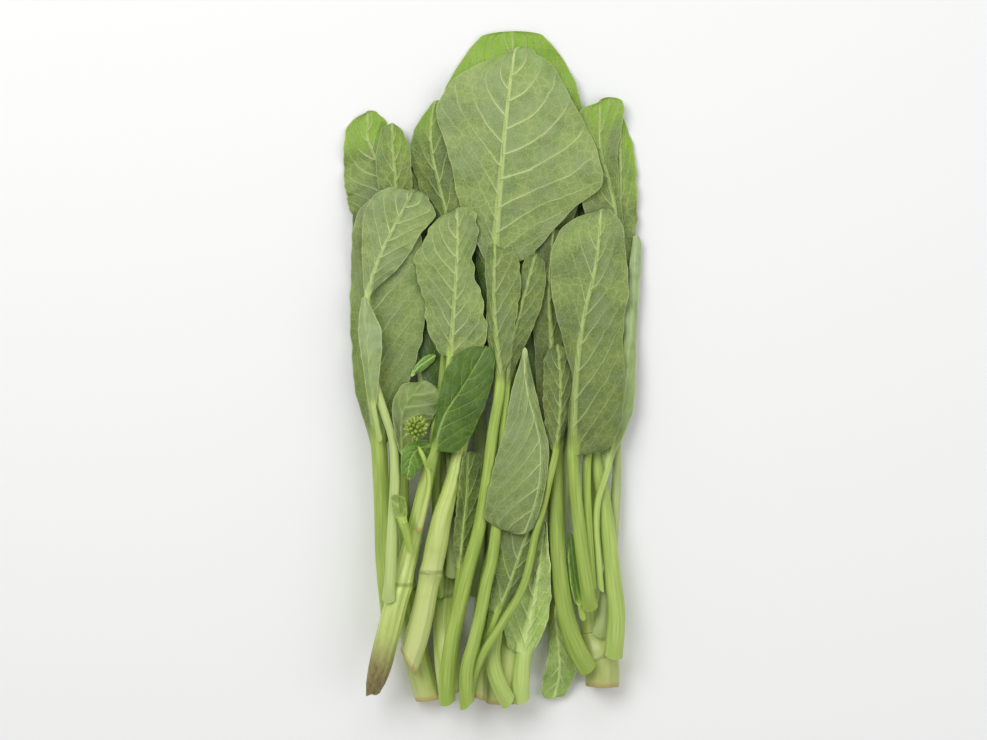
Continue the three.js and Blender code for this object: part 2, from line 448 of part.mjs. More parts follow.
// The order in which everything is laid, from the table up
const LAYING_ORDER = [
  'stem_3_ribbed', 'stem_4_middle_left', 'stem_5_middle', 'stem_6_right',
  'stem_7_right_inner', 'stem_8_left_inner',
  'leaf_31_back_far_left', 'leaf_29_back_centre_left', 'leaf_27_back_right', 'leaf_30_back_left',
  'leaf_32_back_centre', 'leaf_28_back_centre_right', 'leaf_33_back_short', 'leaf_34_back_right_short',
  'leaf_02_top_rim', 'leaf_03_top_left_dark', 'leaf_04_far_left_top', 'leaf_05_left_top',
  'leaf_06_left_long', 'leaf_20_low_hanging', 'leaf_12_right_inner', 'leaf_14_far_right_top',
  'leaf_15_right_edge', 'leaf_13_right_top', 'leaf_21_low_right_small', 'leaf_19_low_pale',
  'leaf_01_top_front', 'leaf_36_low_dark', 'leaf_18_centre_dark', 'leaf_11_right_front',
  'stem_1_far_left', 'stem_2_pale', 'leaf_22_low_left_small', 'leaf_10_centre_slim',
  'leaf_09_centre_narrow', 'leaf_08_centre_left', 'leaf_07_left_round', 'leaf_35_left_fold',
  'leaf_25_tiny_upper', 'leaf_26_tiny_left',
  'leaf_23_bud_upper', 'leaf_24_bud_lower', 'flower_stalk', 'flower_bud_head',
  'leaf_16_bright_small', 'leaf_17_centre_folded',
];

const lerp = (a, b, t) => a + (b - a) * t;
const smooth = (t) => { const c = Math.min(1, Math.max(0, t)); return c * c * (3 - 2 * c); };

/** Value of a list of evenly spaced samples at t in 0..1. */
function sample(list, t) {
  const x = Math.min(1, Math.max(0, t)) * (list.length - 1);
  const i = Math.min(list.length - 2, Math.floor(x));
  return lerp(list[i], list[i + 1], x - i);
}

/** Smooth plan curve through a list of points, read by share of its length. */
function planCurve(points) {
  const curve = new THREE.SplineCurve(points.map(([x, y]) => new THREE.Vector2(x, y)));
  curve.arcLengthDivisions = ARC_DIVISIONS;
  return {
    length: curve.getLength(),
    at(u) {
      const p = curve.getPointAt(Math.min(1, Math.max(0, u)));
      const a = curve.getPointAt(Math.max(0, u - TANGENT_SPAN));
      const b = curve.getPointAt(Math.min(1, u + TANGENT_SPAN));
      const along = b.sub(a).normalize();
      return { p, along, across: new THREE.Vector2(along.y, -along.x) };
    },
  };
}

/** Height map of everything that is laid: the top of what lies at each cell. */
class HeightMap {
  constructor() {
    this.columns = Math.ceil((2 * HALF_WIDTH) / CELL);
    this.rows = Math.ceil((2 * HALF_LENGTH) / CELL);
    this.top = new Float64Array(this.columns * this.rows).fill(-REST_GAP);
    this.spread = this.top.slice();
  }

  /** Visit each cell whose centre lies in a triangle, with its weights for the corners. */
  eachCell(a, b, c, visit) {
    const area = (b[0] - a[0]) * (c[1] - a[1]) - (c[0] - a[0]) * (b[1] - a[1]);
    if (Math.abs(area) < 1e-9) return;
    const [across, along] = [[a[0], b[0], c[0]], [a[1], b[1], c[1]]];
    const left = Math.max(0, Math.floor((Math.min(...across) + HALF_WIDTH) / CELL - 0.5));
    const right = Math.min(this.columns - 1, Math.ceil((Math.max(...across) + HALF_WIDTH) / CELL - 0.5));
    const low = Math.max(0, Math.floor((Math.min(...along) + HALF_LENGTH) / CELL - 0.5));
    const high = Math.min(this.rows - 1, Math.ceil((Math.max(...along) + HALF_LENGTH) / CELL - 0.5));
    for (let row = low; row <= high; row += 1) {
      const y = (row + 0.5) * CELL - HALF_LENGTH;
      for (let column = left; column <= right; column += 1) {
        const x = (column + 0.5) * CELL - HALF_WIDTH;
        const wb = ((x - a[0]) * (c[1] - a[1]) - (c[0] - a[0]) * (y - a[1])) / area;
        const wc = ((b[0] - a[0]) * (y - a[1]) - (x - a[0]) * (b[1] - a[1])) / area;
        const wa = 1 - wb - wc;
        if (wa < -1e-6 || wb < -1e-6 || wc < -1e-6) continue;
        visit(row * this.columns + column, wa, wb, wc);
      }
    }
  }

  /** Widened height at a plan point. */
  at(x, y) {
    const column = Math.min(this.columns - 1, Math.max(0, Math.floor((x + HALF_WIDTH) / CELL)));
    const row = Math.min(this.rows - 1, Math.max(0, Math.floor((y + HALF_LENGTH) / CELL)));
    return this.spread[row * this.columns + column];
  }

  /** Take each cell as high as its highest neighbour, before the next piece is laid. */
  widen() {
    const { columns, rows, top, spread } = this;
    for (let row = 0; row < rows; row += 1) {
      for (let column = 0; column < columns; column += 1) {
        let highest = -REST_GAP;
        for (let r = Math.max(0, row - 1); r <= Math.min(rows - 1, row + 1); r += 1) {
          for (let c = Math.max(0, column - 1); c <= Math.min(columns - 1, column + 1); c += 1) {
            highest = Math.max(highest, top[r * columns + c]);
          }
        }
        spread[row * columns + column] = highest;
      }
    }
  }
}

/**
 * A ribbon: stations along a line, and at each of them columns across it. Each column is one
 * plan point with an underside and a top, and both are lifted together when it is laid.
 */
class Ribbon {
  constructor(rigidStations) {
    this.stations = [];           // [{ x, y, under, over }, ...] for each station
    this.rigidStations = rigidStations;
  }

  add(columns) { this.stations.push(columns); }

  get width() { return this.stations[0].length; }

  /** The two plan triangles of each patch: the same diagonal above and below. */
  * patches() {
    for (let i = 0; i + 1 < this.stations.length; i += 1) {
      for (let j = 0; j + 1 < this.width; j += 1) {
        yield [[i, j], [i + 1, j], [i + 1, j + 1]];
        yield [[i, j], [i + 1, j + 1], [i, j + 1]];
      }
    }
  }

  /**
   * Lay the ribbon on what is already there. Each column is first lifted high enough for
   * every cell of the patches round it, then the lift is smoothed and let down again as far
   * as every cell allows.
   */
  lay(map, { stiffness, settling, sag }) {
    map.widen();
    const { stations, width } = this;
    const cells = [];
    const needed = stations.map((columns, i) => columns.map(({ x, y, under }, j) => {
      const missing = map.at(x, y) + REST_GAP - under;
      cells.push({ missing, weights: [1], corners: [[i, j]] });
      return missing;
    }));
    for (const corners of this.patches()) {
      const points = corners.map(([i, j]) => [stations[i][j].x, stations[i][j].y]);
      map.eachCell(...points, (cell, ...weights) => {
        const under = corners.reduce((sum, [i, j], k) => sum + weights[k] * stations[i][j].under, 0);
        const missing = map.spread[cell] + REST_GAP - under;
        cells.push({ missing, weights, corners });
        for (const [i, j] of corners) needed[i][j] = Math.max(needed[i][j], missing);
      });
    }
    this.stiffen(needed);
    const lift = needed.map((row) => row.slice());
    this.smooth(lift, needed, stiffness, this.rigidStations, sag);
    const highest = lift.map((row) => row.slice());
    for (let pass = 0; pass < settling; pass += 1) {
      this.smooth(lift, null, 1, stations.length, sag);
      for (let repair = 0; repair < MOST_REPAIRS; repair += 1) {
        let worst = 0;
        for (const { missing, weights, corners } of cells) {
          const short = missing - corners.reduce((sum, [i, j], k) => sum + weights[k] * lift[i][j], 0);
          if (short <= 1e-5) continue;
          worst = Math.max(worst, short);
          for (const [i, j] of corners) lift[i][j] = Math.min(highest[i][j], lift[i][j] + short);
        }
        this.stiffen(lift);
        if (worst < CLOSE_ENOUGH) break;
      }
    }
    stations.forEach((columns, i) => columns.forEach((column, j) => {
      column.under += lift[i][j];
      column.over += lift[i][j];
    }));
    for (const corners of this.patches()) {
      const points = corners.map(([i, j]) => [stations[i][j].x, stations[i][j].y]);
      map.eachCell(...points, (cell, ...weights) => {
        const over = corners.reduce((sum, [i, j], k) => sum + weights[k] * stations[i][j].over, 0);
        map.top[cell] = Math.max(map.top[cell], over);
      });
    }
  }

  /** Even out the lift between neighbours, never below the floor where one is given. */
  smooth(lift, floor, passes, lastStation, sag) {
    for (let pass = 0; pass < passes; pass += 1) {
      const before = lift.map((row) => row.slice());
      for (let i = 0; i < lastStation; i += 1) {
        for (let j = 0; j < this.width; j += 1) {
          let sum = 0;
          let count = 0;
          for (const [di, dj] of [[1, 0], [-1, 0], [0, 1], [0, -1]]) {
            const row = before[i + di];
            if (row === undefined || row[j + dj] === undefined) continue;
            sum += row[j + dj];
            count += 1;
          }
          const settled = sum / count - sag;
          lift[i][j] = floor ? Math.max(floor[i][j], settled) : settled;
        }
      }
      this.stiffen(lift);
    }
  }

  /** Stalk and stem stations rise as one, so their section keeps its shape. */
  stiffen(lift) {
    for (let i = 0; i < this.rigidStations; i += 1) {
      lift[i].fill(Math.max(...lift[i]));
    }
  }

  /** One closed mesh: top, underside, both side walls and both ends. */
  geometry() {
    const { stations, width } = this;
    const ring = 2 * width;
    const positions = [];
    const index = [];
    for (const columns of stations) {
      for (const column of columns) positions.push(column.x, column.y, column.over);
      for (const column of columns) positions.push(column.x, column.y, column.under);
    }
    const over = (i, j) => i * ring + j;
    const under = (i, j) => i * ring + width + j;
    for (const [[ai, aj], [bi, bj], [ci, cj]] of this.patches()) {
      index.push(over(ai, aj), over(ci, cj), over(bi, bj));
      index.push(under(ai, aj), under(bi, bj), under(ci, cj));
    }
    const last = stations.length - 1;
    const edge = width - 1;
    for (let i = 0; i < last; i += 1) {
      index.push(over(i, 0), over(i + 1, 0), under(i + 1, 0), over(i, 0), under(i + 1, 0), under(i, 0));
      index.push(over(i, edge), under(i + 1, edge), over(i + 1, edge));
      index.push(over(i, edge), under(i, edge), under(i + 1, edge));
    }
    for (let j = 0; j < edge; j += 1) {
      index.push(over(0, j), under(0, j), under(0, j + 1), over(0, j), under(0, j + 1), over(0, j + 1));
      index.push(over(last, j), over(last, j + 1), under(last, j + 1));
      index.push(over(last, j), under(last, j + 1), under(last, j));
    }
    const geometry = new THREE.BufferGeometry();
    geometry.setAttribute('position', new THREE.Float32BufferAttribute(positions, 3));
    geometry.setIndex(index);
    return outward(geometry);
  }
}

/** Turn a closed mesh so that its faces point out. */
function outward(geometry) {
  const p = geometry.getAttribute('position');
  const index = geometry.getIndex();
  const corner = [0, 1, 2].map(() => new THREE.Vector3());
  let volume = 0;
  for (let i = 0; i < index.count; i += 3) {
    corner.forEach((v, k) => v.fromBufferAttribute(p, index.getX(i + k)));
    volume += corner[0].dot(corner[1].clone().cross(corner[2])) / 6;
  }
  if (volume < 0) {
    for (let i = 0; i < index.count; i += 3) {
      const second = index.getX(i + 1);
      index.setX(i + 1, index.getX(i + 2));
      index.setX(i + 2, second);
    }
  }
  geometry.computeVertexNormals();
  return geometry;
}

/** A stem, its cut end slanted and its leaf joints a little swollen. */
function stemRibbon({ line, half, joints, slant }) {
  const curve = planCurve(line);
  const count = Math.max(4, Math.round(curve.length / STEM_STEP));
  const shares = [];
  for (let i = 0; i <= count; i += 1) shares.push(i / count);
  for (const joint of joints) {
    shares.push(joint - JOINT_REACH / curve.length, joint, joint + JOINT_REACH / curve.length);
  }
  shares.sort((a, b) => a - b);
  const kept = shares.filter((u, i) => i === 0 || u - shares[i - 1] > CLOSEST_STATIONS);
  const ribbon = new Ribbon(kept.length);
  for (const u of kept) {
    const { p, along, across } = curve.at(u);
    const swell = Math.max(0, ...joints.map((joint) => 1 - Math.abs(u - joint) * curve.length / JOINT_REACH));
    const radius = sample(half, u) * (1 + JOINT_SWELL * swell);
    const endShift = slant * Math.max(0, 1 - u * count);
    ribbon.add(STEM_COLUMNS.map((share) => {
      const offset = share * radius;
      const x = p.x + across.x * offset + along.x * endShift * share;
      const y = p.y + across.y * offset + along.y * endShift * share;
      const bow = Math.sqrt(Math.max(0, 1 - share * share));
      const height = Math.max(MARGIN_OF_STALK, radius * STEM_SIDES_LIFT * bow);
      return { x, y, under: radius - Math.min(radius, height), over: radius + height };
    }));
  }
  flattenUnderside(ribbon);
  return ribbon;
}

/** The two middle columns of a stem share one underside height: a narrow flat to lie on. */
function flattenUnderside(ribbon) {
  for (const columns of ribbon.stations) {
    for (const j of [2, 3]) columns[j].under = 0;
  }
}

/** A leaf: a rounded stalk that spreads into a thin waved blade with its midrib raised. */
function leafRibbon({ name, face, line, start, petiole, left, right, wave, waves, cup }) {
  const curve = planCurve(line);
  const front = FRONT_LEAVES.includes(name);
  const stalkLength = start * curve.length;
  const stalkStations = stalkLength < 4 ? 1 : Math.max(2, Math.round(stalkLength / STALK_STEP));
  const shares = [];
  for (let i = 0; i < stalkStations && start > 0; i += 1) {
    shares.push({ u: start * i / stalkStations, t: -1 });
  }
  for (const t of BLADE_STATIONS) {
    if (!front && SKIPPED_BEHIND.includes(t)) continue;
    shares.push({ u: lerp(start, 1, t), t });
  }
  const rigid = shares.filter(({ t }) => t <= 0).length;
  const ribbon = new Ribbon(rigid);
  const sign = face === 'under' ? 1 : -1;
  for (const { u, t } of shares) {
    const { p, across } = curve.at(u);
    const k = Math.max(0, BLADE_STATIONS.indexOf(t));
    const inBlade = t > 0;
    const stalkHalf = lerp(petiole[0], petiole[1], start > 0 ? Math.min(1, u / start) : 1);
    const widths = inBlade ? [left[k], right[k]] : [stalkHalf, stalkHalf];
    const spread = inBlade ? smooth(t / 0.12) : 0;
    const ribHalf = inBlade ? lerp(petiole[1] * 0.8, 0.5, Math.sqrt(t)) : stalkHalf * 0.45;
    const ribHeight = inBlade
      ? lerp(petiole[1] * STALK_HEIGHT, MIDRIB_TIP_HEIGHT, Math.pow(t, 0.7))
      : stalkHalf * STALK_HEIGHT;
    const ripple = wave * smooth(t * 3);
    ribbon.add((front ? LEAF_COLUMNS : LEAF_COLUMNS_BEHIND).map((column) => {
      let offset;
      if (column === 'rib-') offset = -Math.min(ribHalf, widths[0] * 0.35);
      else if (column === 'rib+') offset = Math.min(ribHalf, widths[1] * 0.35);
      else offset = column * (column < 0 ? widths[0] : widths[1]);
      const side = offset < 0 ? widths[0] : widths[1];
      const share = side > 0 ? Math.abs(offset) / side : 0;
      const phase = offset < 0 ? LEFT_WAVE_PHASE : RIGHT_WAVE_PHASE;
      const middle = cup * share * share * spread
        + ripple * share * share * Math.sin(2 * Math.PI * waves * t + phase);
      const thin = BLADE_THICKNESS / 2;
      const stalkOuter = Math.max(MARGIN_OF_STALK, ribHeight * Math.sqrt(Math.max(0, 1 - share * share)));
      const stalkInner = MARGIN_OF_STALK + 0.25 * ribHeight * (1 - share);
      const ridge = ribHeight * Math.max(0, 1 - Math.abs(offset) / (ribHalf * 1.7));
      const outer = lerp(stalkOuter, thin + ridge, spread);
      const inner = lerp(stalkInner, thin, spread);
      const over = sign > 0 ? outer : inner;
      const under = sign > 0 ? inner : outer;
      return {
        x: p.x + across.x * offset, y: p.y + across.y * offset, under: middle - under, over: middle + over,
      };
    }));
  }
  return ribbon;
}

/** A closed geometry as a manifold solid. */
function toSolid(geometry) {
  const bare = geometry.clone();
  bare.deleteAttribute('normal');
  bare.deleteAttribute('uv');
  const merged = mergeVertices(bare, MERGE_DISTANCE);
  return new wasm.Manifold(new wasm.Mesh({
    numProp: 3,
    vertProperties: new Float32Array(merged.getAttribute('position').array),
    triVerts: new Uint32Array(merged.getIndex().array),
  }));
}

/** Flower-bud head: a core with small oval buds standing out of it all round. */
function budHeadGeometry(height) {
  const core = new THREE.IcosahedronGeometry(BUD_HEAD_RADIUS, 1);
  core.scale(1, 1.1, 0.85);
  let solid = toSolid(core);
  const golden = Math.PI * (3 - Math.sqrt(5));
  for (let i = 0; i < BUD_COUNT; i += 1) {
    const up = 1 - (i + 0.5) / BUD_COUNT * BUD_COVER;
    const flat = Math.sqrt(Math.max(0, 1 - up * up));
    const direction = new THREE.Vector3(flat * Math.cos(i * golden), flat * Math.sin(i * golden), up);
    const bud = new THREE.IcosahedronGeometry(BUD_RADIUS, 0);
    bud.scale(0.8, 0.8, 1.25);
    bud.applyQuaternion(new THREE.Quaternion().setFromUnitVectors(new THREE.Vector3(0, 0, 1), direction));
    const reach = BUD_HEAD_RADIUS * (i % 2 ? 1.0 : 1.12);
    bud.translate(direction.x * reach, direction.y * reach * 1.1, direction.z * reach * 0.85);
    solid = solid.add(toSolid(bud));
  }
  const mesh = solid.getMesh();
  const geometry = new THREE.BufferGeometry();
  geometry.setAttribute('position', new THREE.BufferAttribute(new Float32Array(mesh.vertProperties), 3));
  geometry.setIndex(new THREE.BufferAttribute(new Uint32Array(mesh.triVerts), 1));
  geometry.computeBoundingBox();
  geometry.translate(BUD_HEAD.x, BUD_HEAD.y, height - geometry.boundingBox.min.z);
  geometry.computeVertexNormals();
  return geometry;
}

const heights = new HeightMap();
const geometries = new Map();
for (const name of LAYING_ORDER) {
  if (name === 'flower_bud_head') {
    const reach = BUD_HEAD_RADIUS + BUD_RADIUS + CELL;
    let floor = 0;
    const corners = [[-reach, -reach], [reach, -reach], [reach, reach], [-reach, reach]]
      .map(([dx, dy]) => [BUD_HEAD.x + dx, BUD_HEAD.y + dy]);
    for (const [a, b, c] of [[0, 1, 2], [0, 2, 3]]) {
      heights.eachCell(corners[a], corners[b], corners[c], (cell) => {
        floor = Math.max(floor, heights.top[cell]);
      });
    }
    const geometry = budHeadGeometry(floor + REST_GAP);
    geometries.set(name, geometry);
    const top = geometry.boundingBox.max.z;
    for (const [a, b, c] of [[0, 1, 2], [0, 2, 3]]) {
      heights.eachCell(corners[a], corners[b], corners[c], (cell) => {
        heights.top[cell] = Math.max(heights.top[cell], top);
      });
    }
    continue;
  }
  const leaf = LEAVES.find((entry) => entry.name === name);
  const ribbon = leaf ? leafRibbon(leaf) : stemRibbon(STEMS[name]);
  ribbon.lay(heights, leaf ? LEAF_LAY : STEM_LAY);
  geometries.set(name, ribbon.geometry());
}

// The bunch stands on z = 0 with the middle of its box over the origin.
const box = new THREE.Box3();
for (const geometry of geometries.values()) {
  geometry.computeBoundingBox();
  box.union(geometry.boundingBox);
}
const centre = box.getCenter(new THREE.Vector3());

const bunch = new THREE.Group();
for (const [name, geometry] of geometries) {
  geometry.translate(-centre.x, -centre.y, -box.min.z);
  const leaf = LEAVES.find((entry) => entry.name === name);
  let colour = STEM_COLOUR;
  if (leaf) colour = leaf.face === 'under' ? LEAF_COLOUR : LEAF_UPPER_COLOUR;
  if (name === 'flower_bud_head') colour = BUD_COLOUR;
  const material = new THREE.MeshStandardMaterial({ color: colour, roughness: 0.55, metalness: 0 });
  const mesh = new THREE.Mesh(geometry, material);
  mesh.name = name;
  bunch.add(mesh);
}

export default bunch;
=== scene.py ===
"""A bunch of choy sum on a pale table, seen from straight above.

The cut stems, the long-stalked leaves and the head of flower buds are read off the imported
frame, rebuilt as finer skins that keep each node's form, laid on one another again, and
dressed with veins, ribs and a waxy bloom. Plan sizes are in millimetres.
"""
import logging
import math
from dataclasses import dataclass, field
from enum import Enum
from typing import Any, Optional, Sequence, Union

import bpy
import numpy as np
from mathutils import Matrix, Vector


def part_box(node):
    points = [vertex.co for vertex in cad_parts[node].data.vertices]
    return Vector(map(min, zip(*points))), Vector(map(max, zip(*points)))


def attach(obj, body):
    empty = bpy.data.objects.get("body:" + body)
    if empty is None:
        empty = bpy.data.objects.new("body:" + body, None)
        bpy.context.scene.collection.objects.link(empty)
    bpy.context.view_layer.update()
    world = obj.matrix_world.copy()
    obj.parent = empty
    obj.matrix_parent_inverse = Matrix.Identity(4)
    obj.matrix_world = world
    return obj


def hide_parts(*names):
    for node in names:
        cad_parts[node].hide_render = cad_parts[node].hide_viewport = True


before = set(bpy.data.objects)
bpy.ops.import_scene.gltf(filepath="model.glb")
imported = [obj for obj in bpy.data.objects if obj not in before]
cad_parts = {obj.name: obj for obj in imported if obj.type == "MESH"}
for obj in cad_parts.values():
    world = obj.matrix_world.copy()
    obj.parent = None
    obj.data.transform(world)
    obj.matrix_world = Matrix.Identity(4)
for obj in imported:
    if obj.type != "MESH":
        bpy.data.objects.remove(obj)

LOG = logging.getLogger("choy_sum")
MM = 0.001
BODY = "root"
PLAN_CENTRE = (0.184395, -1.005775)     # middle of the bunch in its own plan, laid over the origin
BLADE_STATIONS = (0.0, 0.07, 0.17, 0.29, 0.42, 0.55, 0.68, 0.8, 0.9, 0.965, 1.0)
SOLID_THICKNESS = 0.9                 # blade thickness of the leaf nodes
SOLID_STALK_MARGIN = 0.5              # depth of a stalk's far side at its edges
STALK_HEIGHT = 0.85                   # height of a leaf stalk as a share of its half width
STALK_CROWN = 0.45                    # half width of its crown, as a share too
STALK_STEP = 22.0                     # spacing of a node's stations along a stalk
SHORT_STALK = 4.0                     # a shorter stalk has one station
STEM_STEP = 15.0                      # spacing of a node's stations along a stem
CLOSEST = 0.012                       # nearest that two stations of a stem node stand, as a share
SOLID_JOINT = (-3, 0, 3)              # stations of a stem node round each of its joints
STEM_FLATTENING = 0.96                # height of a stem above its axis, in radii
FRONT_STATIONS = (0.29, 0.55, 0.965)  # stations and columns that only a front leaf's node has
FRONT_COLUMN = 0.55
RIB_LIMIT = 0.35
RIB_BASE = 0.8                        # half width of a midrib's foot, as a share of the stalk's
RIB_TIP = (0.5, 0.25)                 # half width and height of a midrib at the tip
BELLY = 0.25                          # how much the far side of a stalk bulges
SPREAD = 0.12                         # share of the blade over which a stalk flattens into it
LINE_SAMPLES = 401                    # places at which a line is measured
SECANT = 0.03                         # half the stretch of a line that gives its direction
TOUCH = 0.03                          # reach within which a node's point belongs to a place
WELD = 2e-6                           # reach within which the points of a skin are joined
TURN = 6.28                           # range of the random phases of a stem
Line = Sequence[tuple[float, float]]


class Face(Enum):
    """The side of a leaf that looks up."""

    UNDER = "under"
    UPPER = "upper"


class Foot(Enum):
    """How the foot of a leaf stalk ends."""

    CUT = "cut"                       # cut through with the stems
    JOINED = "joined"                 # clasping the stem that it grows from


class Slot(Enum):
    """Material slots of the record."""

    LEAF = "leaf"
    STEM = "stem"
    BUD = "bud"


@dataclass(frozen=True)
class LeafPlan:
    """One leaf in plan: midline from the foot of its stalk to its tip, widths and looks."""

    name: str
    start: float                      # share of the midline at which the blade begins
    stalk: tuple[float, float]        # half widths of the stalk, foot and top
    line: Line
    left: Sequence[float]             # half widths at BLADE_STATIONS, looking to the tip
    right: Sequence[float]
    veins: int                        # lateral veins on each side
    shade: tuple[float, float]        # painted brightness at the blade's base and at its tip: the leaf's own tone, with painted shade where it lies deep in the bunch
    glow: float                       # how strongly a painted glow of light coming through shows where nothing lies below
    glow_from: float = 0.5            # share of the blade above which the glow is painted
    face: Face = Face.UNDER
    front: bool = False               # whether the node has every station and column
    rise: tuple[float, float] = (0.32, 0.32)            # how far the veins climb, left and right
    pale: tuple[float, float] = (0.0, 0.0)              # waxy paleness at the base and at the tip
    lobes: float = 0.4                # how far the outline wanders, in millimetres
    clear: float = 1.0                # how clearly its midrib and net stand out in colour
    foot: Foot = Foot.JOINED


@dataclass(frozen=True)
class StemPlan:
    """One cut stem in plan, from its cut end up."""

    name: str
    line: Line
    half: Sequence[float]             # half widths, evenly spaced along the line
    joints: Sequence[float] = ()      # shares of the length at which a leaf joined it
    slant: float = 0.0                # how far the cut leans
    pale: float = 0.0
    wither: float = 0.0               # how brown the cut end has gone


@dataclass(frozen=True)
class HeadPlan:
    """The head of closed flower buds."""

    name: str
    buds: int
    bud_length: float
    bud_width: float
    dome: tuple[float, float, float]  # half sizes of the head
    seed: int


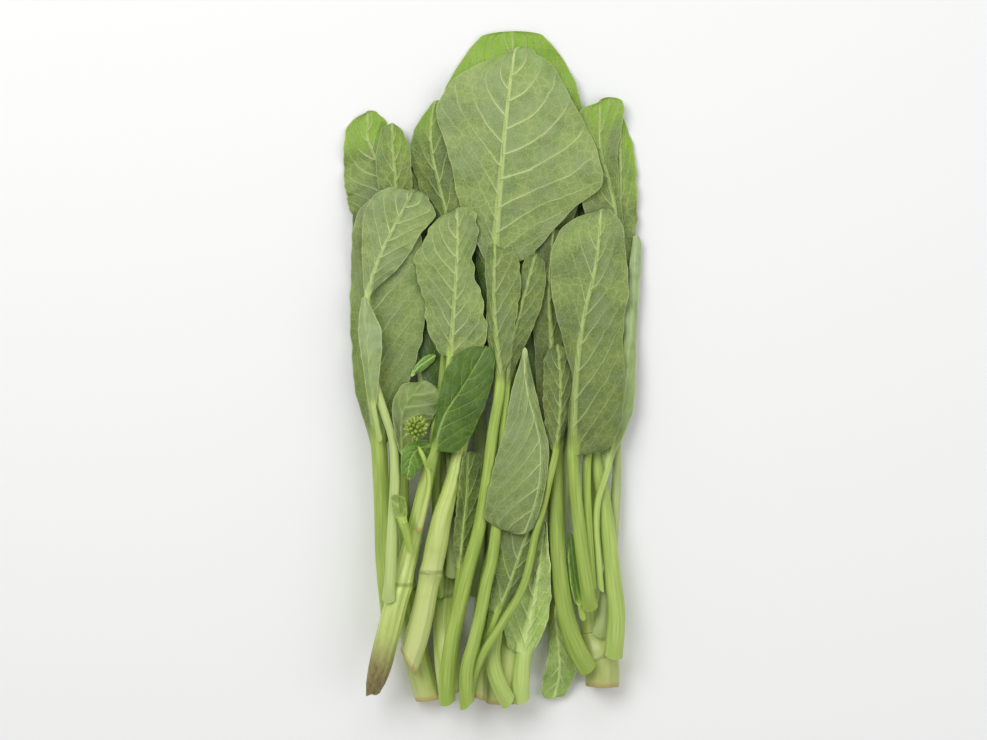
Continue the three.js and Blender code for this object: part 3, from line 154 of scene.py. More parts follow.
# Every piece in the order in which it is laid down.
PLANS = (
    StemPlan("stem_3_ribbed", line=((-28.8, -151.0), (-32.0, -140.0), (-35.0, -128.0), (-37.5, -114.0),
             (-39.5, -98.0), (-41.0, -80.0), (-42.0, -60.0)), half=(5.8, 5.9, 5.6, 5.2, 4.6, 4.0, 3.2),
             joints=(0.55,), slant=-1.0, pale=0.15),
    StemPlan("stem_4_middle_left", line=((-19.4, -147.6), (-20.3, -136.4), (-21.2, -124.2), (-21.6, -109.4),
             (-20.3, -94.1), (-18.0, -79.2), (-15.8, -59.9)), half=(4.8, 5.6, 5.6, 5.2, 4.8, 4.2, 3.4),
             joints=(0.5,), slant=0.6, pale=0.1),
    StemPlan("stem_5_middle", line=((4.6, -152.4), (5.6, -144.0), (7.8, -134.0), (10.6, -122.0),
             (13.0, -106.0), (14.6, -88.0), (16.0, -66.0), (17.4, -42.0)), half=(7.2, 7.6, 7.2, 6.6, 6.0,
             5.4, 4.6, 3.4), joints=(0.3, 0.62), slant=0.8, pale=0.45),
    StemPlan("stem_6_right", line=((50.2, -144.6), (50.1, -136.4), (48.6, -129.2), (46.4, -122.0),
             (45.4, -113.9), (44.8, -106.7), (46.0, -95.0), (47.3, -81.5), (47.7, -68.0), (47.7, -50.0),
             (48.6, -32.0)), half=(7.9, 7.7, 5.8, 5.3, 4.6, 4.0, 3.7, 3.5, 3.3, 3.1, 2.9),
             joints=(0.12, 0.33), pale=0.1, wither=0.25),
    StemPlan("stem_7_right_inner", line=((31.0, -136.0), (30.2, -122.0), (29.2, -104.0), (28.2, -82.0),
             (27.6, -58.0), (26.6, -32.0)), half=(4.2, 4.4, 4.2, 4.0, 3.6, 2.8), joints=(0.45,), slant=1.0),
    StemPlan("stem_8_left_inner", line=((-6.0, -149.6), (-5.6, -136.0), (-4.8, -120.0), (-3.6, -102.0),
             (-1.6, -82.0), (0.4, -58.0)), half=(3.4, 3.7, 3.7, 3.5, 3.2, 2.8), joints=(0.4,), slant=-1.2,
             pale=0.2),
    # The back leaves mostly take low shade values: painted shade where they lie under the rest of the bunch.
    LeafPlan("leaf_31_back_far_left", start=0.449, stalk=(3.6, 2.2), face=Face.UPPER, line=((-37.8, -86),
             (-44.1, -36.5), (-48.6, -9.5), (-53.1, 22.1), (-55.8, 53.6), (-57.6, 85)), left=(2.2, 4.1, 6.4,
             7.3, 7.9, 8, 8, 7.3, 5.9, 4, 3), right=(2.2, 5.8, 9.6, 12, 14.1, 14.6, 14.3, 13, 10.7, 7.9,
             4.5), veins=7, shade=(0.62, 0.68), glow=0.4, pale=(0.7, 0.7)),
    LeafPlan("leaf_29_back_centre_left", start=0.455, stalk=(3.6, 2.2), face=Face.UPPER, line=((-7.7, -104),
             (-5.4, -50), (-6.3, -0.5), (-9.9, 44.6), (-13.5, 85), (-16.2, 123.3)), left=(2.2, 5.2, 9.5,
             11.8, 13.8, 14.6, 14.3, 12.7, 9.3, 6, 0.9), right=(2.2, 5.9, 10.3, 12.3, 14.1, 14.3, 14.4,
             12.6, 9.7, 6.1, 0.9), veins=7, shade=(0.7, 0.76), glow=0.2, pale=(0.7, 0.7)),
    LeafPlan("leaf_27_back_right", start=0.421, stalk=(4, 2.2), face=Face.UPPER, line=((28.8, -104),
             (31.5, -59), (37.4, -14), (44.1, 31.1), (48.6, 76), (50, 109.8)), left=(2.2, 6.2, 9.6, 12.1,
             13.8, 14.7, 14.8, 13.6, 10.8, 6.6, 3.5), right=(2.2, 5.6, 9.4, 12.3, 14.5, 15.5, 15.6, 15.6,
             12.3, 8.4, 3.8), veins=7, shade=(0.64, 0.68), glow=0.2, pale=(0.7, 0.7)),
    LeafPlan("leaf_30_back_left", start=0.49, stalk=(3.6, 2.2), face=Face.UPPER, line=((-16.2, -86),
             (-25.2, -31.9), (-33.3, 4), (-39.6, 40.1), (-44.1, 71.5), (-45.9, 98.5)), left=(2.2, 3.6, 7,
             9.4, 11.3, 11.8, 12.1, 10.1, 8.7, 5.1, 2.8), right=(2.2, 6.6, 10.3, 12.6, 15, 15.8, 15.8, 14.4,
             11.8, 8.5, 4.5), veins=7, shade=(0.72, 0.8), glow=0.2, pale=(0.7, 0.7)),
    LeafPlan("leaf_32_back_centre", start=0.46, stalk=(3.6, 2.2), face=Face.UPPER, line=((6.3, -86),
             (9, -31.9), (7.7, 4), (6.3, 40.1), (6.3, 76), (7.2, 109.8)), left=(2.2, 4.4, 7.8, 10.7, 13.2,
             14.6, 15.2, 13.9, 12.1, 8.3, 4.9), right=(2.2, 6.1, 11.2, 13.7, 16.2, 16.7, 17, 15.5, 13.3,
             8.4, 5), veins=7, shade=(0.9, 1.2), glow=0.2, pale=(0.4, 0.4)),
    LeafPlan("leaf_28_back_centre_right", start=0.391, stalk=(3.6, 2.2), face=Face.UPPER,
             line=((21.6, -104), (22.9, -59), (22.9, -22.9), (22.1, 17.6), (22.9, 62.6), (27, 103)),
             left=(2.2, 5.3, 9.3, 11.1, 13, 13.3, 13.8, 12.5, 10.7, 6.1, 3.6), right=(2.2, 6.9, 11.4, 13.6,
             15.6, 16.3, 16.6, 14.5, 12.3, 7.2, 4.4), veins=7, shade=(0.62, 0.66), glow=0.2,
             pale=(0.7, 0.7)),
    LeafPlan("leaf_33_back_short", start=0.413, stalk=(2.7, 1.8), face=Face.UPPER, line=((-18, -95),
             (-18, -68), (-18.9, -41), (-20.7, -14), (-23.4, 13.1), (-26.1, 35.6)), left=(1.8, 3.6, 6.1,
             8.3, 9.4, 10.4, 9.8, 8.8, 6.3, 4, 1.7), right=(1.8, 3.9, 6.7, 8.8, 10.1, 11, 10.5, 9.3, 7.2,
             4.4, 2.1), veins=6, shade=(0.58, 0.62), glow=0.2, pale=(0.7, 0.7)),
    LeafPlan("leaf_34_back_right_short", start=0.524, stalk=(3.1, 1.8), line=((48.6, -122), (54, -86),
             (56.7, -50), (56.7, -27.4), (54.9, -0.5), (51.3, 31.1), (46.8, 58.1)), left=(1.8, 4.1, 7.3,
             9.5, 10.6, 11.5, 11.4, 11.1, 8.6, 6.6, 3.1), right=(1.8, 4.4, 7.2, 8.8, 10, 10.8, 10.9, 10.5,
             8.7, 5.4, 2.5), veins=7, shade=(0.62, 0.68), glow=0.3, glow_from=0.3, pale=(0.7, 0.7)),
    LeafPlan("leaf_02_top_rim", start=0.605, stalk=(2.5, 2), front=True, line=((-10.8, -151.7),
             (-8.1, -131), (-5.9, -113), (-2.7, -92.7), (1.4, -75.6), (4.5, -50), (7.2, -22.9), (9, 4),
             (10.3, 31.1), (10.8, 76), (10.3, 112), (9.5, 151.2)), left=(2, 8.5, 16.9, 23.8, 29.6, 34.1,
             36.7, 32, 25.2, 19.4, 15.6), right=(2, 7.9, 16.5, 25.3, 30.7, 33.1, 32.3, 28.8, 23.9, 18.3,
             14.6), veins=8, shade=(0.85, 0.98), glow=1, glow_from=0.72, rise=(0.36, 0.32), lobes=0.3,
             foot=Foot.CUT),
    LeafPlan("leaf_03_top_left_dark", start=0.656, stalk=(2.2, 1.6), line=((-23.4, -104), (-25.2, -68),
             (-24.8, -36.5), (-22.9, -9.5), (-20.2, 22.1), (-18.9, 44.6), (-20.2, 66.2), (-24.3, 84.2),
             (-27.4, 98.5), (-27.9, 111.2), (-26.1, 121.5)), left=(1.6, 3.6, 5.6, 7.3, 8, 9.2, 10, 8.4, 4.8,
             2.5, 0.9), right=(1.6, 3.8, 5.9, 7.5, 9.9, 11.5, 12.5, 12, 10.4, 7.8, 5.4), veins=6,
             shade=(0.68, 0.9), glow=0.9, glow_from=0.8, rise=(0.34, 0.34), foot=Foot.CUT),
    LeafPlan("leaf_04_far_left_top", start=0.726, stalk=(2.2, 1.6), front=True, line=((-47.7, -112),
             (-45.9, -86), (-45, -59), (-45, -27.4), (-46.8, -5), (-47.2, 26.6), (-46.4, 55.8),
             (-46.8, 80.5), (-52.2, 94), (-56.7, 104.9), (-56.7, 117)), left=(1.6, 5.6, 14.4, 19, 19.7,
             18.5, 15.4, 11.4, 9.3, 5.1, 0.9), right=(1.6, 3.5, 4.7, 5.1, 5.7, 7.4, 9.3, 10.3, 9.3, 7.4,
             4.5), veins=7, shade=(0.85, 0.98), glow=1, glow_from=0.74, pale=(0.1, 0.05), lobes=0.3),
    LeafPlan("leaf_05_left_top", start=0.729, stalk=(2, 1.6), line=((-39.6, -86), (-39.6, -59),
             (-39.6, -31.9), (-40.5, -0.5), (-41.9, 31.1), (-42.8, 58.1), (-43.6, 82.8), (-45, 98.5),
             (-45.5, 111.6)), left=(1.6, 3, 5.4, 7.1, 8.1, 8.6, 8.4, 7.4, 6.1, 4.7, 0.9), right=(1.6, 3,
             4.7, 6, 7.1, 7.6, 7.8, 7.4, 5.6, 3.6, 0.9), veins=6, shade=(0.8, 0.95), glow=0.6,
             glow_from=0.7),
    LeafPlan("leaf_06_left_long", start=0.443, stalk=(3.6, 3.6), front=True, line=((-45.5, -124.2),
             (-47.2, -106.2), (-49.1, -86), (-49.7, -64.4), (-50.4, -47.7), (-51.3, -34.2), (-54.9, -11.7),
             (-56.7, 15.3), (-55.8, 40.1), (-51.3, 62.6), (-46.8, 77.9)), left=(3.6, 4.6, 6.4, 7.6, 7.7, 8,
             9.1, 11.2, 11.8, 8.1, 0.9), right=(3.6, 8, 14.8, 20.1, 25, 26.6, 25.8, 22.9, 18.2, 14, 9.5),
             veins=8, shade=(0.78, 1.06), glow=0.2, glow_from=0.2, rise=(0.34, 0.34), pale=(0.05, 0.6),
             foot=Foot.CUT),
    LeafPlan("leaf_20_low_hanging", start=0.223, stalk=(1.3, 1.2), line=((31.9, -100.4), (29.2, -111.2),
             (30.6, -128.7), (30.6, -140), (28.4, -149.8)), left=(1.2, 1.6, 2.9, 3.7, 4.5, 6.2, 7.5, 6.1,
             5.3, 4.7, 0.9), right=(1.2, 1.7, 3.1, 3.7, 4.4, 5.6, 6.7, 7, 6.7, 6.5, 6.4), veins=5,
             shade=(1.24, 1.34), glow=0.4, glow_from=0.2, rise=(0.34, 0.34), pale=(0.1, 0.45)),
    LeafPlan("leaf_12_right_inner", start=0.51, stalk=(4.5, 2.9), line=((44.1, -137.2), (38.7, -127.4),
             (33.8, -113), (31.1, -95), (29.7, -79.2), (29.2, -59), (29.2, -36.5), (28.8, -14), (27, 13.1),
             (26.1, 35.6), (27.9, 62.6)), left=(2.9, 4.8, 7, 8.2, 8.1, 7.8, 7.2, 7, 5.9, 5.2, 0.9),
             right=(2.9, 4.4, 6.8, 8, 9.3, 9.7, 9.9, 8.6, 6.8, 4.4, 3.1), veins=6, shade=(0.5, 0.54),
             glow=0.2, foot=Foot.CUT),
    LeafPlan("leaf_14_far_right_top", start=0.627, stalk=(4.3, 2), line=((54.5, -131.4), (55.6, -122),
             (56.2, -110.2), (54.7, -94.5), (52.6, -74.7), (50.6, -59), (47.7, -40.1), (50, -14),
             (55.8, 22.1), (57.6, 53.6), (58.5, 85), (58.5, 113.9)), left=(2, 3.9, 5.5, 6.6, 7.5, 7.8, 7.7,
             7, 5.1, 3.3, 2), right=(2, 4.5, 6.2, 7.2, 7.7, 8, 7.8, 6.9, 5.1, 3.1, 1.8), veins=7,
             shade=(0.95, 1.05), glow=1, glow_from=0.62, pale=(0.15, 0), foot=Foot.CUT),
    LeafPlan("leaf_15_right_edge", start=0.343, stalk=(1.6, 1.4), line=((49.1, -100.4), (48.1, -86),
             (47.2, -72.5), (48.1, -59), (52.2, -45.5), (54.9, -31.9), (59.4, -14), (62.6, 8.6),
             (64.4, 31.1), (65.7, 59.9)), left=(1.4, 3.8, 4.7, 4.2, 3.4, 3.9, 3.7, 2.8, 2.4, 1.8, 1.5),
             right=(1.4, 2.3, 4.8, 5.6, 4.2, 2.9, 2.4, 2.5, 2.9, 2.8, 1.7), veins=8, shade=(1.2, 1.35),
             glow=0.1, glow_from=0, pale=(0.25, 1.5), clear=0.15, foot=Foot.CUT),
    LeafPlan("leaf_13_right_top", start=0.55, stalk=(2.2, 1.8), front=True, line=((45, -100.4), (44.1, -86),
             (43.2, -68), (42.8, -45.5), (45, -22.9), (48.1, -0.5), (51.3, 22.1), (54.9, 48.1),
             (56.2, 69.3), (53.1, 86), (49.5, 99.5), (49.5, 121.5)), left=(1.8, 6.4, 10, 12, 13.7, 14, 13.1,
             11.5, 11.1, 9, 0.9), right=(1.8, 4.7, 6.2, 5.9, 3.9, 3.1, 5.8, 8.6, 10.1, 10.6, 10.1), veins=7,
             shade=(0.8, 1), glow=0.8, glow_from=0.7, pale=(0, 0.15), foot=Foot.CUT),
    # Its high shade values paint light onto a leaf that lies in a shaded gap.
    LeafPlan("leaf_21_low_right_small", start=0.189, stalk=(1.3, 1.1), face=Face.UPPER,
             line=((41.4, -113.9), (39.6, -106.7), (37.8, -97.2), (36.5, -86), (35.6, -75.2)), left=(1.1, 2,
             2.2, 2.4, 2.3, 2.2, 2.2, 1.7, 1.3, 1, 0.9), right=(1.1, 2.8, 2.9, 3, 3, 2.8, 2.6, 2.1, 1.6,
             1.3, 0.9), veins=5, shade=(1.6, 1.7), glow=0.2, glow_from=0, rise=(0.36, 0.36),
             pale=(0.05, 0.6), lobes=0.2),
    LeafPlan("leaf_19_low_pale", start=0.273, stalk=(4, 3.6), line=((13.1, -151.7), (13.1, -140.8),
             (14.4, -128.7), (16.7, -115.2), (19.4, -99.5), (21.6, -83.7), (22.5, -68)), left=(3.6, 8.5,
             10.8, 11.7, 11.3, 9.6, 7.5, 5.4, 3.7, 2.5, 0.9), right=(3.6, 5.2, 7.1, 8.1, 7.9, 6.6, 5.1, 3.7,
             2.9, 2.5, 0.9), veins=6, shade=(1.36, 1.62), glow=0.25, glow_from=0, rise=(0.36, 0.36),
             pale=(0.3, 0.5), foot=Foot.CUT),
    LeafPlan("leaf_01_top_front", start=0.675, stalk=(3.8, 2.9), front=True, line=((8.1, -151.7),
             (4.5, -145.3), (1.4, -137.7), (0, -129.2), (0.9, -121), (2.7, -104), (4.5, -86), (5, -59),
             (4, -22.9), (2.2, 13.1), (0.9, 35.6), (0.9, 48.1), (2.7, 73.8), (5.4, 103), (7.7, 125.5),
             (10.3, 144.9)), left=(2.9, 7.4, 13.6, 18.6, 22.4, 27.3, 31.9, 27.9, 18, 6.9, 0.9), right=(2.9,
             18.4, 25.8, 35.1, 46.4, 43.1, 36.3, 28.6, 22.6, 16.6, 9.4), veins=8, shade=(1, 1.16), glow=0.5,
             glow_from=0.9, rise=(0.42, 0.3), pale=(0.2, 0.5), lobes=0.3, foot=Foot.CUT),
    LeafPlan("leaf_36_low_dark", start=0.199, stalk=(2, 1.5), line=((-1.8, -122.9), (2.2, -110.2),
             (6.8, -100.4), (11.7, -86), (16.7, -71.5), (20.2, -60.3)), left=(1.5, 7.5, 10, 11.4, 11.9,
             11.9, 11.1, 9.3, 6.4, 2.3, 0.9), right=(1.5, 2.8, 3.7, 7, 8.5, 9.1, 8.2, 6.9, 5.3, 4.3, 0.9),
             veins=5, shade=(0.75, 0.75), glow=0.1, glow_from=0, rise=(0.36, 0.36)),
    LeafPlan("leaf_18_centre_dark", start=0.699, stalk=(2.1, 1.5), line=((-9.9, -141.8), (-4.5, -128.7),
             (5, -113.9), (14.4, -96.8), (19.8, -73.8), (23.2, -62.1), (25.9, -50), (28.8, -37.4),
             (30.6, -22.9), (31.1, -5), (29.7, 10.8)), left=(1.5, 3.6, 5.4, 6.9, 7.5, 8.1, 7.9, 7.2, 6.5,
             4.1, 0.9), right=(1.5, 1.4, 2.6, 4.3, 5.5, 6.4, 6, 5.5, 5.3, 3.2, 0.9), veins=6,
             shade=(0.62, 0.7), glow=0.1, glow_from=0, rise=(0.34, 0.34), foot=Foot.CUT),
    LeafPlan("leaf_11_right_front", start=0.388, stalk=(3.2, 2.7), front=True, line=((44.6, -109.4),
             (42.8, -99.5), (40.1, -79.2), (37.4, -54.5), (36.5, -39.1), (36.9, -22.9), (37.8, -7.2),
             (39.6, 10.8), (42.3, 26.6), (45.9, 41), (48.1, 54.5), (49.5, 71.5)), left=(2.7, 2.5, 2.5, 1.5,
             6.1, 12.6, 18.7, 20.8, 18.3, 11.2, 0.9), right=(2.7, 18.8, 22.2, 22.5, 20.7, 18.5, 17.4, 14.2,
             11.4, 9.3, 5.1), veins=9, shade=(0.62, 1.12), glow=0.3, glow_from=0.9, rise=(0.4, 0.36),
             pale=(0, 0.25), lobes=0.35),
    StemPlan("stem_1_far_left", line=((-53.5, -146.2), (-50.6, -135.0), (-47.5, -122.5), (-43.9, -108.5),
             (-40.5, -96.3), (-37.3, -83.3), (-32.6, -64.0), (-28.8, -47.0), (-25.2, -30.0), (-22.5, -8.0)),
             half=(3.6, 5.2, 5.3, 4.9, 4.2, 3.6, 3.3, 3.1, 2.7, 2.0), joints=(0.36,), slant=1.5, wither=1.0),
    StemPlan("stem_2_pale", line=((-37.8, -132.8), (-34.2, -122.0), (-31.2, -110.0), (-29.2, -100.0),
             (-27.4, -91.4), (-25.0, -79.6), (-22.4, -67.0), (-17.9, -52.0), (-15.0, -39.0), (-12.0, -24.0),
             (-9.5, -8.0)), half=(5.3, 5.4, 5.1, 4.8, 5.2, 4.7, 4.0, 3.5, 3.2, 2.8, 2.4), joints=(0.33,),
             slant=-4.5, pale=0.8),
    LeafPlan("leaf_22_low_left_small", start=0.519, stalk=(2, 1.6), line=((-19.4, -146.2), (-18, -126.5),
             (-16.7, -108.5), (-14.4, -90.5), (-12.6, -72.5), (-11.2, -56.7), (-10.8, -38.7)), left=(1.6,
             3.9, 4.3, 4.5, 4.5, 4.4, 4.2, 3.7, 3, 2.5, 1.4), right=(1.6, 4, 4.7, 5.4, 6.1, 6.6, 6.8, 6.7,
             6, 5.6, 5.4), veins=5, shade=(0.8, 0.85), glow=0.2, glow_from=0, rise=(0.34, 0.34),
             foot=Foot.CUT),
    LeafPlan("leaf_10_centre_slim", start=0.696, stalk=(3.1, 1.9), line=((-11.2, -151.7), (-11.5, -135.9),
             (-7.7, -121), (-5, -109.4), (-2.5, -96.3), (0, -86.4), (1.8, -72.5), (3.6, -54.5), (5, -31.9),
             (6.3, -9.5), (8.6, 10.8), (13.5, 28.8), (19.8, 51.8)), left=(1.9, 1.9, 1.7, 1.2, 1.1, 1.9, 2.8,
             4, 4.5, 4.3, 0.9), right=(1.9, 2.3, 3.4, 5.5, 7.4, 8.1, 8.7, 8.1, 6.2, 4.9, 0.9), veins=6,
             shade=(0.72, 0.82), glow=0.2, rise=(0.34, 0.34), foot=Foot.CUT),
    LeafPlan("leaf_09_centre_narrow", start=0.699, stalk=(3.8, 2.2), line=((-20.2, -151.7), (-20.2, -140),
             (-18, -122.9), (-14.4, -106.2), (-11.2, -92.7), (-5.9, -72.5), (-2.2, -50), (0.5, -27.4),
             (3.6, -7.7), (2.2, 10.8), (0.9, 31.1), (1.4, 55.4)), left=(2.2, 2, 3, 3.7, 4.1, 3.5, 3.2, 4.2,
             4.4, 3.9, 3.7), right=(2.2, 2.2, 4.4, 6.8, 8.9, 10.7, 12.1, 11.8, 10.9, 7.5, 0.9), veins=6,
             shade=(0.82, 0.89), glow=0.1, rise=(0.34, 0.34), pale=(0, 0.1), lobes=0.3, foot=Foot.CUT),
    LeafPlan("leaf_08_centre_left", start=0.392, stalk=(1.8, 1.6), front=True, line=((-21.6, -37.4),
             (-22.5, -27.4), (-21.2, -16.2), (-19.8, -5), (-18.9, 5.4), (-17.1, 31.1), (-15.8, 51.3),
             (-15.8, 72)), left=(1.6, 6.9, 11.2, 12.4, 15, 18.1, 19.1, 15, 11.3, 6.9, 0.9), right=(1.6, 14,
             15.9, 14.7, 12.2, 8.9, 7.3, 8.7, 9.4, 9.4, 5.7), veins=8, shade=(0.95, 1.06), glow=0.2,
             glow_from=0.7, rise=(0.34, 0.34), pale=(0.15, 0.35), lobes=0.8),
    LeafPlan("leaf_07_left_round", start=0.732, stalk=(2.7, 1.4), front=True, line=((-46.4, -104.9),
             (-45.5, -92.7), (-45, -79.2), (-44.1, -61.2), (-43.6, -45.5), (-44.6, -31.9), (-48.6, -19.4),
             (-53.1, -5), (-56.2, 10.8), (-57.6, 22.9), (-56.2, 33.3), (-53.1, 44.6), (-48.6, 55.8),
             (-42.3, 68), (-36, 80.1)), left=(1.4, 2.8, 4.7, 7.4, 10.3, 13.4, 15.4, 15.1, 12.3, 8.4, 1.7),
             right=(1.4, 2.7, 5.8, 9.1, 10.9, 11.8, 11.8, 13.1, 14.2, 11.5, 8.2), veins=6,
             shade=(1.05, 1.05), glow=0.2, glow_from=0.8, rise=(0.38, 0.34), pale=(0.5, 0.5), lobes=0.12),
    LeafPlan("leaf_35_left_fold", start=0.238, stalk=(1.2, 1.1), line=((-50.4, -32.9), (-53.1, -17.6),
             (-54.9, -5), (-56.2, 10.8), (-57.6, 31.9)), left=(1.1, 2.2, 2.3, 2.4, 2.8, 3.3, 3.7, 3, 2.2,
             1.3, 0.9), right=(1.1, 2.1, 3.2, 4.4, 5.6, 6.7, 6.9, 5.1, 3.1, 1.6, 0.9), veins=5,
             shade=(1.1, 1.32), glow=0.1, glow_from=0, rise=(0.5, 0.5), pale=(0.4, 1), lobes=0.15,
             clear=0.2),
    LeafPlan("leaf_25_tiny_upper", start=0, stalk=(0.9, 0.8), face=Face.UPPER, line=((-36.5, -3.6),
             (-33.8, 0.5), (-29.7, 3.6), (-26.1, 5.9)), left=(0.9, 0.9, 0.9, 1.2, 1.4, 1.8, 2.1, 1.9, 1.7,
             0.9, 0.9), right=(0.9, 0.9, 1.9, 2.6, 2.8, 2.8, 2.6, 2.3, 2, 1.6, 0.9), veins=2,
             shade=(1.6, 1.75), glow=0, glow_from=0, rise=(0.36, 0.36), pale=(0.6, 1), lobes=0.15),
    LeafPlan("leaf_26_tiny_left", start=0.635, stalk=(1.4, 2.4), line=((-36.5, -82.8), (-38.2, -74.2),
             (-40.5, -66.6), (-42.3, -57.1)), left=(2.4, 2.9, 3, 3.2, 3.3, 3.3, 3.3, 3.2, 3.2, 3.2, 3.2),
             right=(2.4, 2.8, 2.9, 3, 3.1, 3.1, 3.1, 3, 2.9, 1, 0.9), veins=1, shade=(1.1, 1.25), glow=2.5,
             glow_from=0, rise=(0.34, 0.34), lobes=0.05, clear=0.05),
    LeafPlan("leaf_23_bud_upper", start=0.248, stalk=(1.4, 1.1), line=((-36.9, -50), (-39.6, -38.7),
             (-40.5, -27.4), (-39.6, -18.4), (-36.5, -12.6), (-31.5, -6.3)), left=(1.1, 2, 2.5, 3.3, 4.1,
             5.3, 6.2, 6.5, 4.4, 1.5, 0.9), right=(1.1, 6.8, 8.7, 10.8, 12.5, 13.5, 13.5, 13.1, 12.5, 11.6,
             10.9), veins=5, shade=(0.9, 0.95), glow=0.1, rise=(0.34, 0.34), pale=(0.1, 0.3), lobes=0.15,
             clear=0.25),
    LeafPlan("leaf_24_bud_lower", start=0.202, stalk=(1.1, 0.9), face=Face.UPPER, line=((-23.4, -35.6),
             (-27.9, -34.6), (-32.4, -35.6), (-36, -39.1), (-37.8, -47.2)), left=(0.9, 4.5, 5.2, 5.4, 5.5,
             5.7, 5.5, 5.1, 4.4, 3.7, 3.4), right=(0.9, 2.6, 2.9, 3.7, 4.8, 4.5, 4.1, 3.8, 3.3, 3, 2.8),
             veins=5, shade=(1.1, 1.15), glow=0, glow_from=0, rise=(0.36, 0.36), pale=(0.2, 0.3), lobes=0.2),
    StemPlan("flower_stalk", line=((-33.0, -73.0), (-30.2, -62.0), (-28.4, -53.0), (-28.6, -46.0),
             (-30.8, -39.5), (-33.0, -35.0)), half=(1.5, 1.4, 1.3, 1.2, 1.1, 1.0)),
    HeadPlan("flower_bud_head", buds=34, bud_length=3.4, bud_width=1.9, dome=(3.9, 4.2, 2.9), seed=7),
    LeafPlan("leaf_16_bright_small", start=0.138, stalk=(1.8, 1.4), face=Face.UPPER, front=True,
             line=((-27.9, -44.6), (-26.1, -36.5), (-23.4, -26.6), (-20.2, -18.9), (-13.1, -8.1),
             (-2.7, 9.5)), left=(1.4, 2, 2.7, 3.9, 6.6, 9.6, 10.6, 10.3, 7.8, 4.3, 0.9), right=(1.4, 11.8,
             14, 14.8, 14.4, 13.1, 11.6, 9.8, 7.4, 5.5, 3.8), veins=6, shade=(0.73, 0.73), glow=0,
             glow_from=0, rise=(0.42, 0.42), pale=(0, 0.35), lobes=0.2),
    LeafPlan("leaf_17_centre_folded", start=0, stalk=(1, 1), front=True, line=((14.8, 9.5), (15.3, -2.7),
             (17.1, -14), (20.2, -25.2), (22.1, -36.5), (21.6, -50), (18.9, -62.6), (14.8, -73.4)), left=(1,
             1.7, 2.9, 3.5, 3.1, 3.6, 3, 2.8, 2.8, 2.9, 0.9), right=(1, 2.2, 5.6, 10.2, 15.7, 19.7, 21.6,
             22.1, 21.5, 20.5, 19.9), veins=8, shade=(1.1, 0.8), glow=0.1, glow_from=0, rise=(0.2, 0.42),
             pale=(0.75, 0.3), lobes=0.25),
)


def lerp(low: Any, high: Any, share: Any) -> Any:
    """Return the value at a share of the way from low to high."""
    return low + (high - low) * share


def ease(value: Any, low: float = 0.0, high: float = 1.0) -> Any:
    """Return the smooth step from 0 at low to 1 at high."""
    share = np.clip((value - low) / (high - low), 0.0, 1.0)
    return share * share * (3.0 - 2.0 * share)


def flowing(places: np.ndarray, knots: Sequence[float], values: np.ndarray,
            monotone: bool = True) -> np.ndarray:
    """Read a smooth curve that passes through samples.

    Args:
        places: Where the curve is read.
        knots: Rising places of the samples.
        values: Samples, one row for each knot.
        monotone: Keep the curve from swinging past its samples.

    Returns:
        One row for each place.
    """
    knots = np.asarray(knots, float)
    values = np.asarray(values, float)
    flat = values.ndim == 1
    rows = values[:, None] if flat else values
    steps = np.diff(knots)[:, None]
    grades = np.diff(rows, axis=0) / steps
    slopes = np.zeros_like(rows)
    slopes[0], slopes[-1] = grades[0], grades[-1]
    if len(knots) > 2:
        before, after = 2 * steps[1:] + steps[:-1], steps[1:] + 2 * steps[:-1]
        if monotone:
            turning = grades[:-1] * grades[1:] <= 1e-12
            safe_low = np.where(turning, 1.0, grades[:-1])
            safe_high = np.where(turning, 1.0, grades[1:])
            mean = (before + after) / (before / safe_low + after / safe_high)
            slopes[1:-1] = np.where(turning, 0.0, mean)
        else:
            slopes[1:-1] = (grades[:-1] * steps[1:] + grades[1:] * steps[:-1]) / (steps[1:] + steps[:-1])
    spot = np.clip(places, knots[0], knots[-1])
    i = np.clip(np.searchsorted(knots, spot, side="right") - 1, 0, len(knots) - 2)
    h = steps[i]
    s = (spot[:, None] - knots[i][:, None]) / h
    result = ((1 + 2 * s) * (1 - s) ** 2 * rows[i] + s * (1 - s) ** 2 * h * slopes[i]
              + s * s * (3 - 2 * s) * rows[i + 1] + s * s * (s - 1) * h * slopes[i + 1])
    return result[:, 0] if flat else result


def widest(values: np.ndarray, reach: int, axis: int) -> np.ndarray:
    """Return the highest value within a reach along one axis.

    Args:
        values: A table of values.
        reach: How many cells away counts, each way.
        axis: The axis.

    Returns:
        A table of the same shape.
    """
    result = values.copy()
    size = values.shape[axis]
    for step in range(1, min(reach, size - 1) + 1):
        ahead = np.take(values, np.minimum(np.arange(size) + step, size - 1), axis=axis)
        behind = np.take(values, np.maximum(np.arange(size) - step, 0), axis=axis)
        result = np.maximum(result, np.maximum(ahead, behind))
    return result


def evened(values: np.ndarray, reach: int, axis: int) -> np.ndarray:
    """Return the mean of the values within a reach along one axis.

    Args:
        values: A table of values.
        reach: How many cells away counts, each way.
        axis: The axis.

    Returns:
        A table of the same shape.
    """
    size = values.shape[axis]
    total = values.copy()
    for step in range(1, reach + 1):
        total += np.take(values, np.minimum(np.arange(size) + step, size - 1), axis=axis)
        total += np.take(values, np.maximum(np.arange(size) - step, 0), axis=axis)
    return total / (2 * reach + 1)


